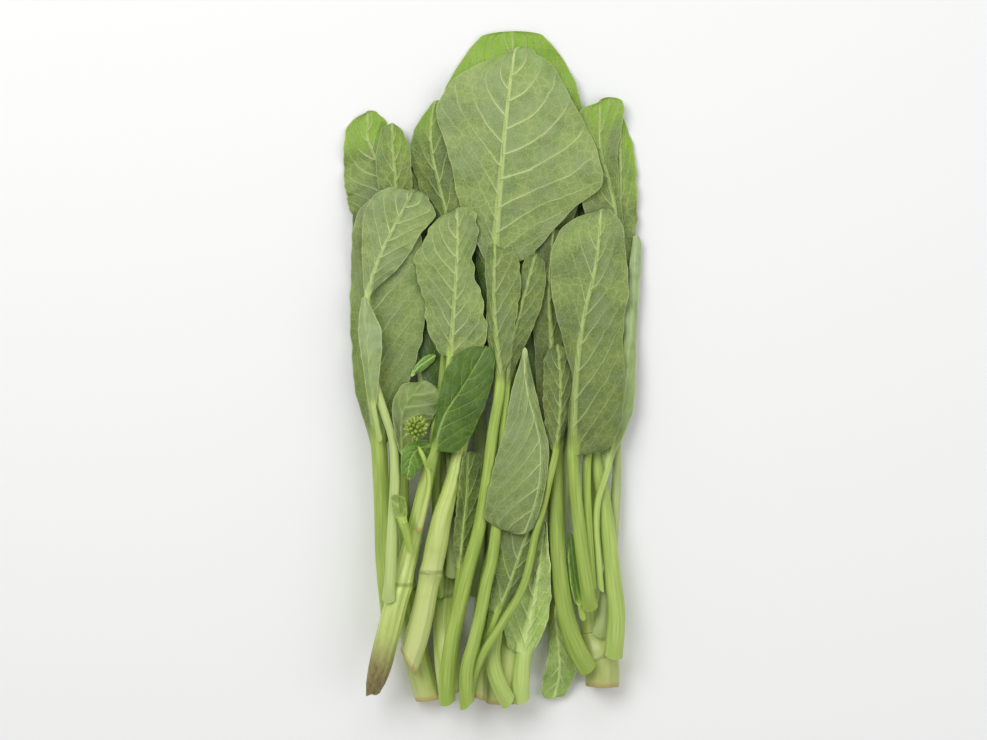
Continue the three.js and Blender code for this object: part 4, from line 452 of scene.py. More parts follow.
class PlanCurve:
    """A smooth plan line through points, read by share of its length."""

    def __init__(self, points: Line) -> None:
        """Measure the line.

        Args:
            points: Plan points in millimetres.
        """
        self.points = np.array(points, float)
        self.marks = np.linspace(0.0, 1.0, LINE_SAMPLES)
        steps = np.diff(self._through(self.marks), axis=0)
        self.travelled = np.concatenate(([0.0], np.cumsum(np.hypot(steps[:, 0], steps[:, 1]))))
        self.length = float(self.travelled[-1])

    def _through(self, marks: np.ndarray) -> np.ndarray:
        """Read the spline at its own parameter.

        Args:
            marks: Parameters from 0 to 1.

        Returns:
            The points, one row for each mark.
        """
        last = len(self.points) - 1
        place = last * marks
        i = np.minimum(np.floor(place).astype(int), last)
        w = (place - i)[:, None]
        before, here = self.points[np.maximum(i - 1, 0)], self.points[i]
        ahead, beyond = self.points[np.minimum(i + 1, last)], self.points[np.minimum(i + 2, last)]
        start, end = (ahead - before) * 0.5, (beyond - here) * 0.5
        return ((2 * here - 2 * ahead + start + end) * w ** 3
                + (-3 * here + 3 * ahead - 2 * start - end) * w ** 2 + start * w + here)

    def at(self, shares: np.ndarray) -> np.ndarray:
        """Return the points at shares of the length."""
        spot = np.clip(shares, 0.0, 1.0) * self.length
        return self._through(np.interp(spot, self.travelled, self.marks))

    def frame_at(self, shares: np.ndarray) -> tuple[np.ndarray, np.ndarray, np.ndarray]:
        """Read the line and its directions.

        Args:
            shares: Shares of the length.

        Returns:
            The points, the unit directions along the line, and those to its right.
        """
        reach = self.at(shares + SECANT) - self.at(shares - SECANT)
        along = reach / np.linalg.norm(reach, axis=1, keepdims=True)
        return self.at(shares), along, np.stack((along[:, 1], -along[:, 0]), axis=1)

    def beside(self, shares: np.ndarray, offset: Any, forward: Any = 0.0) -> tuple[np.ndarray, np.ndarray]:
        """Find places beside the line, with the middle of the bunch over the origin.

        Args:
            shares: Shares of the length.
            offset: How far each place lies to the right.
            forward: How far it is moved along the line.

        Returns:
            The places across and along the bunch.
        """
        points, along, across = (vectors.T[:, :, None] for vectors in self.frame_at(shares))
        x, y = points + across * offset + along * forward
        return x - PLAN_CENTRE[0], y - PLAN_CENTRE[1]


class NodeHeights:
    """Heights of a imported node, looked up at its own plan points."""

    def __init__(self, name: str) -> None:
        """Read the node's points.

        Args:
            name: Name of the node.
        """
        self.name = name
        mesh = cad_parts[name].data
        points = np.empty(len(mesh.vertices) * 3, np.float32)
        mesh.vertices.foreach_get("co", points)
        self.points = points.reshape(-1, 3).astype(float) / MM

    def read(self, x: np.ndarray, y: np.ndarray) -> tuple[np.ndarray, np.ndarray]:
        """Find the top and the underside at each place.

        Args:
            x: Places across, in millimetres.
            y: Places along.

        Returns:
            Heights of the top and of the underside, shaped as the places are.
        """
        px, py, pz = self.points.T
        near = np.hypot(x.reshape(-1, 1) - px, y.reshape(-1, 1) - py) < TOUCH
        if not near.any(axis=1).all():
            missing = int((~near.any(axis=1)).sum())
            raise ValueError(f"{self.name}: {missing} of {near.shape[0]} places aren't on the node")
        top = np.where(near, pz, -np.inf).max(axis=1)
        under = np.where(near, pz, np.inf).min(axis=1)
        return top.reshape(x.shape), under.reshape(x.shape)


@dataclass
class Sheet:
    """Places on stations along a piece and columns across it, each with a top and an underside."""

    x: np.ndarray
    y: np.ndarray
    top: np.ndarray
    under: np.ndarray
    stiff: np.ndarray                 # stations that rise as one

    def rise(self, lift: np.ndarray) -> None:
        """Lift every place."""
        self.top = self.top + lift
        self.under = self.under + lift

    def ring(self) -> np.ndarray:
        """Close every station to a ring.

        Returns:
            The points round every station, the first one twice, in metres.
        """
        over = np.stack((self.x, self.y, self.top), axis=-1)
        below = np.stack((self.x, self.y, self.under), axis=-1)[:, ::-1]
        return np.concatenate((over, below, over[:, :1]), axis=1) * MM

    @staticmethod
    def round_ring(values: np.ndarray) -> np.ndarray:
        """Return values of the columns in the order of ring."""
        return np.concatenate((values, values[:, ::-1], values[:, :1]), axis=1)


@dataclass
class LaidBunch:
    """A map of the height and the number of layers of everything that is laid so far."""

    cell: float = 0.5
    half_width: float = 84.0
    half_length: float = 170.0
    gap: float = 0.12                 # air between skins that lie on each other
    reach: int = 4                    # how far a lift spreads, in stations and columns
    blocked: float = 0.6              # share of the painted glow that one layer below takes away
    height: np.ndarray = field(init=False)
    layers: np.ndarray = field(init=False)

    def __post_init__(self) -> None:
        """Start with the bare table."""
        shape = (int(2 * self.half_length / self.cell), int(2 * self.half_width / self.cell))
        self.height = np.full(shape, -self.gap)
        self.layers = np.zeros(shape)

    def _cells(self, x: np.ndarray, y: np.ndarray) -> tuple[np.ndarray, np.ndarray]:
        """Find the cell under each place.

        Args:
            x: Places across, in millimetres.
            y: Places along.

        Returns:
            Their rows and their columns.
        """
        row = ((y + self.half_length) / self.cell).astype(int)
        column = ((x + self.half_width) / self.cell).astype(int)
        return (np.clip(row, 0, self.height.shape[0] - 1), np.clip(column, 0, self.height.shape[1] - 1))

    def settle(self, sheet: Sheet) -> float:
        """Lift a sheet clear of what lies under it, spreading each lift smoothly.

        Args:
            sheet: The sheet to lift.

        Returns:
            The largest lift, in millimetres.
        """
        ground = widest(widest(self.height, 1, 0), 1, 1)
        need = np.maximum(ground[self._cells(sheet.x, sheet.y)] + self.gap - sheet.under, 0.0)
        need[sheet.stiff] = need[sheet.stiff].max(axis=1, keepdims=True)
        for axis in (0, 1):
            need = widest(need, self.reach, axis)
        half = self.reach // 2
        for axis in (0, 1):
            need = evened(evened(need, half, axis), half, axis)
        need[sheet.stiff] = need[sheet.stiff].max(axis=1, keepdims=True)
        sheet.rise(need)
        return float(need.max())

    def openness(self, sheet: Sheet) -> np.ndarray:
        """Find how free of layers the table is under each place, which masks the painted glow.

        Args:
            sheet: The sheet that lies over it.

        Returns:
            1 for bare, 0 for covered, shaped as the sheet.
        """
        beneath = self.layers[self._cells(sheet.x, sheet.y)]
        free = np.clip(1.0 - self.blocked * beneath, 0.0, 1.0)
        for axis in (0, 1):
            free = evened(free, 2, axis)
        return free

    def take(self, sheet: Sheet) -> None:
        """Add a settled sheet to the map.

        Args:
            sheet: The sheet.
        """
        x, y, top = (self._finer(values) for values in (sheet.x, sheet.y, sheet.top))
        cells = self._cells(x, y)
        np.maximum.at(self.height, cells, top)
        covered = np.zeros_like(self.layers)
        covered[cells] = 1.0
        self.layers += covered

    @staticmethod
    def _finer(values: np.ndarray, times: int = 5) -> np.ndarray:
        """Read a table of values several times as closely each way.

        Args:
            values: The table.
            times: How many times as closely.

        Returns:
            The finer table.
        """
        for axis in (0, 1):
            size = values.shape[axis]
            place = np.linspace(0.0, size - 1.0, (size - 1) * times + 1)
            low = np.minimum(place.astype(int), size - 2)
            share = np.expand_dims(place - low, 1 - axis)
            values = lerp(np.take(values, low, axis=axis), np.take(values, low + 1, axis=axis), share)
        return values


class Skin:
    """A closed skin rolled from a primitive grid, with values stored at its points."""

    def __init__(self, name: str) -> None:
        """Name the piece.

        Args:
            name: Name of the finished object.
        """
        self.name = name

    def roll(self, rings: np.ndarray, notes: dict[str, Sequence[np.ndarray]], lower: Optional[int] = None,
             crease: float = 45.0) -> bpy.types.Object:
        """Roll the skin round its stations and close both ends.

        Args:
            rings: Points round every station, the last one on the first, in metres.
            notes: One value or three for every point, by attribute name.
            lower: First column of the lower side, which takes the second material.
            crease: Angle in degrees above which an edge stays sharp.

        Returns:
            The finished object.
        """
        foot, tip = (np.broadcast_to(rings[end].mean(axis=0), rings[:1].shape) for end in (0, -1))
        rings = np.concatenate((foot, rings, tip))
        rows, columns = rings.shape[:2]
        bpy.ops.object.select_all(action="DESELECT")
        bpy.ops.mesh.primitive_grid_add(x_subdivisions=columns - 1, y_subdivisions=rows - 1, size=2.0)
        piece = bpy.context.object
        piece.name = piece.data.name = self.name
        mesh = piece.data
        if lower is not None:
            side = np.tile(np.arange(columns - 1) >= lower, rows - 1)
            mesh.polygons.foreach_set("material_index", side.astype(np.int32))
        mesh.vertices.foreach_set("co", rings.reshape(-1).astype(np.float32))
        for key, parts in notes.items():
            values = np.stack([np.concatenate((part[:1], part, part[-1:])) for part in parts], axis=-1)
            kind, socket = ("FLOAT_VECTOR", "vector") if len(parts) == 3 else ("FLOAT", "value")
            note = mesh.attributes.new(key, kind, "POINT")
            note.data.foreach_set(socket, values.reshape(-1).astype(np.float32))
        mesh.update()
        bpy.ops.object.mode_set(mode="EDIT")
        bpy.ops.mesh.select_all(action="SELECT")
        bpy.ops.mesh.remove_doubles(threshold=WELD)
        bpy.ops.mesh.normals_make_consistent(inside=False)
        bpy.ops.object.mode_set(mode="OBJECT")
        bpy.ops.object.shade_smooth_by_angle(angle=math.radians(crease))
        return piece


@dataclass
class Leaf:
    """One leaf: a rounded stalk that spreads into a thin, gently quilted blade."""

    plan: LeafPlan
    seed: int
    blade_thickness: float = 0.5
    margin_share: float = 0.35        # thickness left at the very margin
    station_step: float = 0.95
    stalk_step: float = 3.0
    columns: int = 17                 # columns on each side of the midrib
    ripple: float = 0.5               # height of the fine waves of the margin
    ripple_length: float = 40.0       # blades shorter than this have lower waves
    quilt: float = 0.42               # how far the blade swells between its veins
    tip_rounds: int = 6
    base_rounds: int = 12             # stations that round off the base of the blade
    stalk_shade: float = 0.35         # how much of the blade's painted shade its stalk shares
    foot_length: float = 8.0          # stretch over which the foot of the stalk changes
    foot_flare: float = 0.12          # how much wider a foot is that clasps its stem
    foot_round: float = 1.6
    foot_lean: float = 2.4            # how far a cut slants
    margin_counts: tuple[int, ...] = (3, 5, 8, 13)      # waves of the outline along the blade
    ripple_counts: tuple[int, ...] = (3, 5, 8)          # waves up and down along the margin
    groove: float = 0.35              # depth of the midrib's groove on an upper side
    tip_reach: float = 0.42           # length of the rounded tip as a share of its half width
    longest_tip: float = 3.0
    glow_edge: float = 0.07           # share of the blade over which the painted glow fades in
    least_waves: tuple[float, float] = (0.3, 0.4)       # smallest heights of waves, outline and ripple
    lobe_width: float = 6.0           # halves narrower than this wander less
    quilt_width: float = 14.0         # halves narrower than this swell less
    ripple_lag: int = 5               # stations by which the right margin's ripple trails the left's
    vein_lag: float = 0.45            # how far the right veins stand off the left ones, in spacings
    takeover: tuple[float, float] = (0.9, 1.35)         # stalk half widths over which the blade begins
    thinning: float = 0.8             # share of the half width beyond which the blade thins
    joined_foot: tuple[float, float] = (0.1, 0.4)       # thickness left at a clasping foot, over and below
    foot_sink: float = 0.6            # how far that foot sinks, as a share of its lower half
    cut_foot: float = 0.75            # thickness left over a cut foot
    back_steps: tuple[float, int, int, int] = (2.0, 10, 4, 5)       # coarser steps of leaves at the back

    def __post_init__(self) -> None:
        """Measure the leaf and take the coarser steps for leaves at the back."""
        self.curve = PlanCurve(self.plan.line)
        self.stalk_length = self.plan.start * self.curve.length
        self.blade_length = self.curve.length - self.stalk_length
        self.dice = np.random.default_rng(self.seed)
        if "back" in self.plan.name:
            self.station_step, self.columns, self.tip_rounds, self.base_rounds = self.back_steps

    def _stalk_half(self, u: np.ndarray) -> np.ndarray:
        """Return the half width of the stalk, which stays as it is at its top."""
        start = self.plan.start
        return lerp(*self.plan.stalk, np.minimum(1.0, u / start) if start > 0 else np.ones_like(u))

    def _rib(self, u: np.ndarray, t: np.ndarray) -> tuple[np.ndarray, np.ndarray]:
        """Size the midrib, or the crown of the stalk where t is 0 or less.

        Args:
            u: Shares of the whole line.
            t: Shares of the blade.

        Returns:
            The half widths and the heights.
        """
        foot, top = self._stalk_half(u), self.plan.stalk[1]
        half = np.where(t > 0, lerp(top * RIB_BASE, RIB_TIP[0], np.sqrt(t)), foot * STALK_CROWN)
        height = np.where(t > 0, lerp(top * STALK_HEIGHT, RIB_TIP[1], t ** 0.7), foot * STALK_HEIGHT)
        return half, height

    def _waves(self, t: np.ndarray, counts: Sequence[int], least: float) -> np.ndarray:
        """Return a sum of waves along the blade, each of a random height from least to 1."""
        return sum(self.dice.uniform(least, 1.0) * np.sin(2 * math.pi * (count * t + self.dice.random()))
                   for count in counts)

    def _solid_places(self) -> tuple[np.ndarray, np.ndarray, np.ndarray, np.ndarray]:
        """Find where the stations and columns of the node stand.

        Returns:
            The stations' shares, blade shares, offsets and half widths.
        """
        plan = self.plan
        stalks = 1 if self.stalk_length < SHORT_STALK else max(2, round(self.stalk_length / STALK_STEP))
        shares = [plan.start * i / stalks for i in range(stalks) if plan.start > 0]
        stations = [t for t in BLADE_STATIONS if plan.front or t not in FRONT_STATIONS]
        u = np.array(shares + [lerp(plan.start, 1.0, t) for t in stations])
        t = np.array([-1.0] * len(shares) + stations)
        rows = [BLADE_STATIONS.index(blade) if blade > 0 else 0 for blade in t]
        widths = np.stack((np.array(plan.left)[rows], np.array(plan.right)[rows]), axis=1)
        sides = np.where((t > 0)[:, None], widths, self._stalk_half(u)[:, None])
        left, right = sides.T
        if plan.front:
            rib = self._rib(u, np.maximum(t, 0.0))[0]
            inner = [np.minimum(rib, RIB_LIMIT * side) for side in (left, right)]
            offsets = (-left, -FRONT_COLUMN * left, -inner[0], 0.0 * left,
                       inner[1], FRONT_COLUMN * right, right)
        else:
            offsets = (-left, -0.5 * left, 0.0 * left, 0.5 * right, right)
        return u, t, np.stack(offsets, axis=1), sides

    def _solid_middle(self) -> tuple[np.ndarray, np.ndarray, np.ndarray]:
        """Read the middle heights of the node.

        Returns:
            The node's stations, its columns as signed shares, and the heights.
        """
        plan = self.plan
        u, t, offsets, sides = self._solid_places()
        top, under = NodeHeights(plan.name).read(*self.curve.beside(u, offsets))
        side = np.where(offsets < 0, sides[:, :1], sides[:, 1:])
        share = np.abs(offsets) / np.maximum(side, 1e-6)
        blade = np.maximum(t, 0.0)
        spread = np.where(t > 0, ease(blade / SPREAD), 0.0)[:, None]
        rib = self._rib(u, blade)[1][:, None]
        inner = lerp(SOLID_STALK_MARGIN + BELLY * rib * (1 - share), SOLID_THICKNESS / 2, spread)
        middle = under + inner if plan.face is Face.UNDER else top - inner
        return u, np.sign(offsets) * share, middle

    def _stations(self) -> tuple[np.ndarray, np.ndarray]:
        """Choose the fine stations.

        Returns:
            Their shares of the whole line and of the blade, below 0 on the stalk.
        """
        start = self.plan.start
        stalks = max(2, round(self.stalk_length / self.stalk_step)) if start > 0 else 0
        blades = max(12, round(self.blade_length / self.station_step))
        first = BLADE_STATIONS[1]
        t = np.concatenate((first * (np.arange(self.base_rounds) / self.base_rounds) ** 2,
                            np.linspace(first, 1.0, blades + 1)))
        blade = np.concatenate((np.arange(stalks) / max(stalks, 1) - 1.0, t))
        u = np.where(blade < 0, start * (blade + 1.0), lerp(start, 1.0, blade))
        return u, blade

    def _outline(self, blade: np.ndarray, u: np.ndarray) -> np.ndarray:
        """Draw the fine outline.

        Args:
            blade: Share of the blade at each station.
            u: Share of the whole line there.

        Returns:
            The half widths to the left and right at every station.
        """
        plan = self.plan
        foot = self._stalk_half(u)
        sides = []
        for widths in (plan.left, plan.right):
            knots = (plan.stalk[1],) + tuple(widths[1:])
            fine = flowing(np.maximum(blade, 0.0), BLADE_STATIONS, np.array(knots))
            fine = self._round_base(blade, fine, knots[0], knots[1])
            waves = self._waves(blade, self.margin_counts, self.least_waves[0])
            broad = ease(blade, 0.05, 0.3) * np.minimum(1.0, fine / self.lobe_width)
            uneven = plan.lobes * waves * 0.5 * broad
            sides.append(np.where(blade > 0, fine + uneven, foot))
        return np.stack(sides, axis=1)

    def _round_base(self, blade: np.ndarray, fine: np.ndarray, narrow: float, wide: float) -> np.ndarray:
        """Round the outline off where a broad blade leaves its stalk.

        Args:
            blade: Share of the blade at each station.
            fine: Half widths there.
            narrow: Half width of the stalk.
            wide: Half width at the first station of the blade.

        Returns:
            The half widths with a rounded base.
        """
        first = BLADE_STATIONS[1]
        share = np.clip(blade / first, 0.0, 1.0)
        rounded = narrow + (wide - narrow) * np.sqrt(1.0 - (1.0 - share) ** 2)
        breadth = float(np.clip((wide - narrow) / (first * self.blade_length) - 0.3, 0.0, 1.0))
        return np.where(blade < first, lerp(fine, rounded, breadth), fine)

    def _clasp(self, u: np.ndarray) -> np.ndarray:
        """Return how far along its foot each station is: 0 at the end, 1 where the stalk is free."""
        return ease(u * self.curve.length, 0.0, self.foot_length)

    def build(self, bunch: LaidBunch) -> bpy.types.Object:
        """Build the leaf, lay it on the bunch and note what its finish needs.

        Args:
            bunch: Everything that is laid so far.

        Returns:
            The leaf's object.
        """
        plan = self.plan
        u, blade = self._stations()
        sides = self._outline(blade, u)
        knots, solid_shares, solid_middle = self._solid_middle()
        t = np.clip(blade, 0.0, 1.0)
        spread = ease(t / SPREAD)[:, None]
        steps = np.arange(-self.columns, self.columns + 1)
        even = np.abs(steps) / self.columns
        share = np.sign(steps) * lerp(np.sin(0.5 * math.pi * even)[None, :], even[None, :] ** 1.4, spread)
        share[:, self.columns] = 0.0
        middle_rows = np.stack([np.interp(share[-1], row_shares, row)
                                for row_shares, row in zip(solid_shares, solid_middle)])
        middle = flowing(u, knots, middle_rows, monotone=False)
        for _ in range(2):
            soft = evened(evened(middle, 2, 1), 2, 0)
            middle = lerp(middle, soft, spread)
        size = np.abs(share)
        side = np.where(share < 0, sides[:, :1], sides[:, 1:])
        offset = share * side
        # fine waves of the margin, and the swelling between the lateral veins
        wave = self._waves(t, self.ripple_counts, self.least_waves[1])[:, None]
        wave = np.where(share < 0, wave, np.roll(wave, self.ripple_lag, axis=0))
        ripple = self.ripple * min(1.0, self.blade_length / self.ripple_length)
        middle = middle + ripple * wave * size ** 3 * ease(t * 4)[:, None]
        climb = np.where(share < 0, plan.rise[0], plan.rise[1]) * size ** 1.2
        phase = plan.veins * (t[:, None] - climb) + np.where(share < 0, 0.0, self.vein_lag)
        swell = (0.5 - 0.5 * np.cos(2 * math.pi * (phase + 0.5))) * ease(size, 0.0, 0.2)
        swell = swell * ease(1 - size, 0.0, 0.2)
        swell = swell * spread * np.minimum(1.0, side / self.quilt_width) * self.quilt
        middle = middle + (-swell if plan.face is Face.UNDER else swell)
        # the section: a rounded stalk below, a thin blade with its midrib above
        rib_half, rib_height = (values[:, None] for values in self._rib(u, t))
        beyond = ease(np.abs(offset), *(times * plan.stalk[1] for times in self.takeover)) * (t > 0)[:, None]
        lamina = np.maximum(spread, beyond)
        round_off = np.sqrt(np.maximum(0.0, 1.0 - size ** 2))
        taper = lerp(1.0, self.margin_share, ease(size, self.thinning, 1.0))
        ridge = rib_height * np.exp(-(offset / (rib_half * 0.95)) ** 2)
        outer = lerp(rib_height * round_off, SOLID_THICKNESS / 2 * taper + ridge, lamina)
        flat = (self.blade_thickness - SOLID_THICKNESS / 2) * taper
        belly = (SOLID_STALK_MARGIN + BELLY * rib_height) * round_off
        inner = lerp(belly, flat, lamina)
        if plan.face is Face.UPPER:
            groove = self.groove * np.exp(-(offset / (rib_half * 0.8)) ** 2) * spread
            outer, inner = (lerp(rib_height * round_off, flat + ridge, lamina),
                            lerp(belly, SOLID_THICKNESS / 2 * taper, lamina) - groove)
        over, below = (outer, inner) if plan.face is Face.UNDER else (inner, outer)
        free = self._clasp(u)[:, None]
        if plan.foot is Foot.JOINED:
            over = over * lerp(self.joined_foot[0], 1.0, np.sqrt(free))
            below = below * lerp(self.joined_foot[1], 1.0, free)
            middle = middle - (1.0 - free) * below.max(axis=1, keepdims=True) * self.foot_sink
            offset = offset * lerp(1.0 + self.foot_flare, 1.0, free)
            back = self.foot_round * size ** 2 * (1.0 - free)
        else:
            over = over * lerp(self.cut_foot, 1.0, np.sqrt(free))
            lean = self.foot_lean * self.dice.uniform(-1.0, 1.0)
            back = (self.foot_round * size ** 2 + lean * share) * (1.0 - free) * (plan.start > 0)
        x, y = self.curve.beside(u, offset, back)
        table = {"x": x, "y": y, "top": middle + over, "under": middle - below, "offset": offset,
                 "phase": phase, "share": size, "rib": np.abs(offset) / rib_half, "lamina": lamina,
                 "along": np.broadcast_to(u[:, None], x.shape),
                 "blade": np.broadcast_to(blade[:, None], x.shape)}
        table = self._rounded_tip(table, self.curve.frame_at(u[-1:])[1][0])
        sheet = Sheet(table["x"], table["y"], table["top"], table["under"], table["blade"][:, 0] <= 0.0)
        lift = bunch.settle(sheet)
        open_air = bunch.openness(sheet)
        bunch.take(sheet)
        piece = self._skin(sheet, table, open_air)
        LOG.info("%s: %d faces, lifted %.2f mm", piece.name, len(piece.data.polygons), lift)
        return piece

    def _rounded_tip(self, table: dict[str, np.ndarray], along: np.ndarray) -> dict[str, np.ndarray]:
        """Add stations past the last one that close the blade in a rounded tip.

        Args:
            table: Values of all stations by name.
            along: Direction of the midline at the tip.

        Returns:
            The table with the tip added.
        """
        last = {key: rows[-1] for key, rows in table.items()}
        edge = np.array([[last["x"][0], last["y"][0]], [last["x"][-1], last["y"][-1]]])
        centre = edge.mean(axis=0)
        reach = min(self.tip_reach * float(np.linalg.norm(edge[1] - edge[0])) / 2, self.longest_tip)
        rows = {key: [] for key in table}
        for k in range(1, self.tip_rounds + 1):
            angle = 0.5 * math.pi * k / self.tip_rounds
            close, forward = math.cos(angle), reach * math.sin(angle)
            for key, values in last.items():
                if key == "x":
                    values = centre[0] + (values - centre[0]) * close + along[0] * forward
                elif key == "y":
                    values = centre[1] + (values - centre[1]) * close + along[1] * forward
                elif key in ("top", "under"):
                    middle = 0.5 * (last["top"] + last["under"])
                    thin = lerp(values, middle, 0.5 * math.sin(angle))
                    values = lerp(thin.mean(), thin, close)
                elif key == "share":
                    values = lerp(1.0, values, close)
                rows[key].append(values)
        return {key: np.vstack((table[key], np.array(rows[key]))) for key in table}

    def _skin(self, sheet: Sheet, table: dict[str, np.ndarray], open_air: np.ndarray) -> bpy.types.Object:
        """Roll the leaf's skin with its notes.

        Args:
            sheet: The settled sheet.
            table: Values of all stations by name.
            open_air: How free the table is under each place.

        Returns:
            The leaf's object.
        """
        plan = self.plan
        spacing, clear = (np.full_like(table["offset"], value)
                          for value in (self.blade_length / plan.veins, plan.clear))
        t = np.clip(table["blade"], 0.0, 1.0)
        # painted light: a glow painted where one layer lies over bare table, and each leaf's painted shade,
        # its stalk sharing part of it
        lit = ease(t, plan.glow_from - self.glow_edge, plan.glow_from + self.glow_edge)
        glow = plan.glow * open_air * lit
        shade = lerp(lerp(1.0, plan.shade[0], self.stalk_shade), lerp(*plan.shade, t), table["lamina"])
        notes = {"vein": (table["phase"], table["share"], spacing),
                 "place": (table["offset"], table["along"] * self.curve.length, clear),
                 "look": (glow, shade, lerp(*plan.pale, t)),
                 "rib": (table["rib"],), "blade": (table["lamina"],)}
        notes = {key: [Sheet.round_ring(values) for values in parts] for key, parts in notes.items()}
        return Skin("fresh_" + plan.name).roll(sheet.ring(), notes, lower=sheet.x.shape[1])


@dataclass
class Stem:
    """One cut stem: ribbed, swollen a little where leaves joined it, with a bare cut end."""

    plan: StemPlan
    seed: int
    station_step: float = 2.4
    round_points: int = 44
    rib_count: int = 9
    rib_height: float = 0.14
    swelling: float = 0.1
    swelling_reach: float = 3.4
    ledge: float = 0.05               # how far the stem steps in above a joint
    joint_stations: Sequence[float] = (-1.2, -0.5, -0.15, 0.15, 0.5, 1.2)
    rounded_end: float = 5.0          # stretch over which a withered end draws in
    solid_swelling: float = 0.09
    solid_swelling_reach: float = 3.0
    cut_rings: tuple[float, ...] = (0.02, 0.45, 0.8, 0.95)          # shares of the radius on the cut face
    cut_dips: tuple[float, ...] = (0.5, 0.3, 0.05, 0.0, 0.22)       # how far they and the rim lie in
    rim_cut: float = 0.6              # how much of the cut's finish the rim takes
    end_stretch: float = 4.0          # stretch over which the upper end rounds off
    end_size: float = 0.35            # share of the radius left at that end
    withered_size: float = 0.8        # how far a withered end draws in
    flat_below: float = 0.985         # how far below its axis a stem reaches, in radii
    torn_depth: float = 0.55
    torn_counts: tuple[int, ...] = (1, 2, 3)
    withered_stretch: tuple[float, float] = (6.0, 34.0)             # where the brown fades out
    joint_leans: tuple[float, float] = (-0.18, 0.22)                # slopes of the rings, in turn
    ledge_from: tuple[float, float] = (-0.05, 0.08)     # where the ledge begins and fades, in reaches
    ledge_to: tuple[float, float] = (0.5, 5.0)
    full_ribs: float = 4.0            # radius below which the ribs are lower
    crease: float = 38.0

    def __post_init__(self) -> None:
        """Measure the stem."""
        self.curve = PlanCurve(self.plan.line)
        self.dice = np.random.default_rng(self.seed)

    def _solid_shares(self) -> np.ndarray:
        """Find where the stations of the node stand.

        Returns:
            Their shares of the length.
        """
        count = max(4, round(self.curve.length / STEM_STEP))
        shares = [i / count for i in range(count + 1)]
        for joint in self.plan.joints:
            shares += [joint + away / self.curve.length for away in SOLID_JOINT]
        shares.sort()
        return np.array([u for i, u in enumerate(shares) if i == 0 or u - shares[i - 1] > CLOSEST])

    def _solid_radius(self, u: np.ndarray) -> np.ndarray:
        """Size the node.

        Args:
            u: Shares of the length.

        Returns:
            The node's radius there.
        """
        half = np.interp(u, np.linspace(0, 1, len(self.plan.half)), self.plan.half)
        swell = np.zeros_like(u)
        for joint in self.plan.joints:
            swell = np.maximum(swell, 1 - np.abs(u - joint) * self.curve.length / self.solid_swelling_reach)
        return half * (1 + self.solid_swelling * swell)

    def _centre_heights(self) -> tuple[np.ndarray, np.ndarray]:
        """Read the axis of the node.

        Returns:
            The node's stations and the heights of its axis there.
        """
        u = self._solid_shares()
        count = max(4, round(self.curve.length / STEM_STEP))
        radius = self._solid_radius(u)[:, None]
        share = np.array([[-0.25, 0.25]])
        shift = self.plan.slant * np.maximum(0.0, 1 - u[:, None] * count) * share
        _, under = NodeHeights(self.plan.name).read(*self.curve.beside(u, share * radius, shift))
        return u, under.min(axis=1) + radius[:, 0]

    def build(self, bunch: LaidBunch) -> bpy.types.Object:
        """Build the stem and lay it on the bunch.

        Args:
            bunch: Everything that is laid so far.

        Returns:
            The stem's object.
        """
        plan = self.plan
        u = np.linspace(0.0, 1.0, max(8, round(self.curve.length / self.station_step)) + 1)
        close = [joint + place / self.curve.length for joint in plan.joints for place in self.joint_stations]
        u = np.unique(np.concatenate((u, close)))
        knots, heights = self._centre_heights()
        height = flowing(u, knots, heights)
        radius = flowing(u, np.linspace(0, 1, len(plan.half)), np.array(plan.half))
        for joint in plan.joints:
            away = (u - joint) * self.curve.length / self.swelling_reach
            step = self.ledge * ease(away, *self.ledge_from) * (1.0 - ease(away, *self.ledge_to))
            radius = radius * (1 + self.swelling * np.exp(-away ** 2) - step)
        # the cut end: a bevelled rim and a face that dips a little towards its middle
        faces = len(self.cut_rings)
        inset = np.concatenate((self.cut_rings, np.ones_like(u)))
        dip, cut = np.zeros_like(inset), np.zeros_like(inset)
        dip[:faces + 1], cut[:faces], cut[faces] = self.cut_dips, 1.0, self.rim_cut
        u = np.concatenate((np.zeros(faces), u))
        radius, height = (np.concatenate((np.full(faces, row[0]), row)) for row in (radius, height))
        taper = ease((1 - u) * self.curve.length, 0.0, self.end_stretch)
        shape = inset * lerp(self.end_size, 1.0, np.sqrt(np.where(u > 0.5, taper, 1.0)))
        drawn = ease(u * self.curve.length, 0.0, self.rounded_end)
        shape = shape * lerp(1.0, lerp(self.withered_size, 1.0, drawn), plan.wither)
        angle = np.linspace(0.0, 2 * math.pi, self.round_points, endpoint=False) + math.pi
        ribs = sum(np.sin(count * angle + self.dice.uniform(0, TURN)) * self.dice.uniform(0.4, 1.0)
                   for count in (self.rib_count - 2, self.rib_count, self.rib_count + 3))
        full = (np.minimum(1.0, radius / self.full_ribs) * shape)[:, None]
        ring = (radius * shape)[:, None] + self.rib_height * ribs * full
        side, up = ring * np.sin(angle), ring * np.cos(angle)
        up = np.where(up > 0, up * STEM_FLATTENING, np.maximum(up, -self.flat_below * radius[:, None]))
        near = np.maximum(0.0, 1 - u * self.curve.length / STEM_STEP)[:, None]
        torn = plan.wither * sum(np.sin(count * angle + self.dice.uniform(0, TURN))
                                 for count in self.torn_counts)
        shift = plan.slant * near * side / radius[:, None] + self.torn_depth * torn * near ** 6 + dip[:, None]
        x, y = self.curve.beside(u, side, shift)
        z = height[:, None] + up
        lift = self._lay(bunch, x, y, z)
        rings = np.stack((x, y, z + lift[:, None]), axis=-1)
        rings = np.concatenate((rings, rings[:, :1]), axis=1) * MM
        piece = self._skin(rings, u, side, up, cut, inset)
        LOG.info("%s: %d faces, lifted %.2f mm", piece.name, len(piece.data.polygons), float(lift.max()))
        return piece

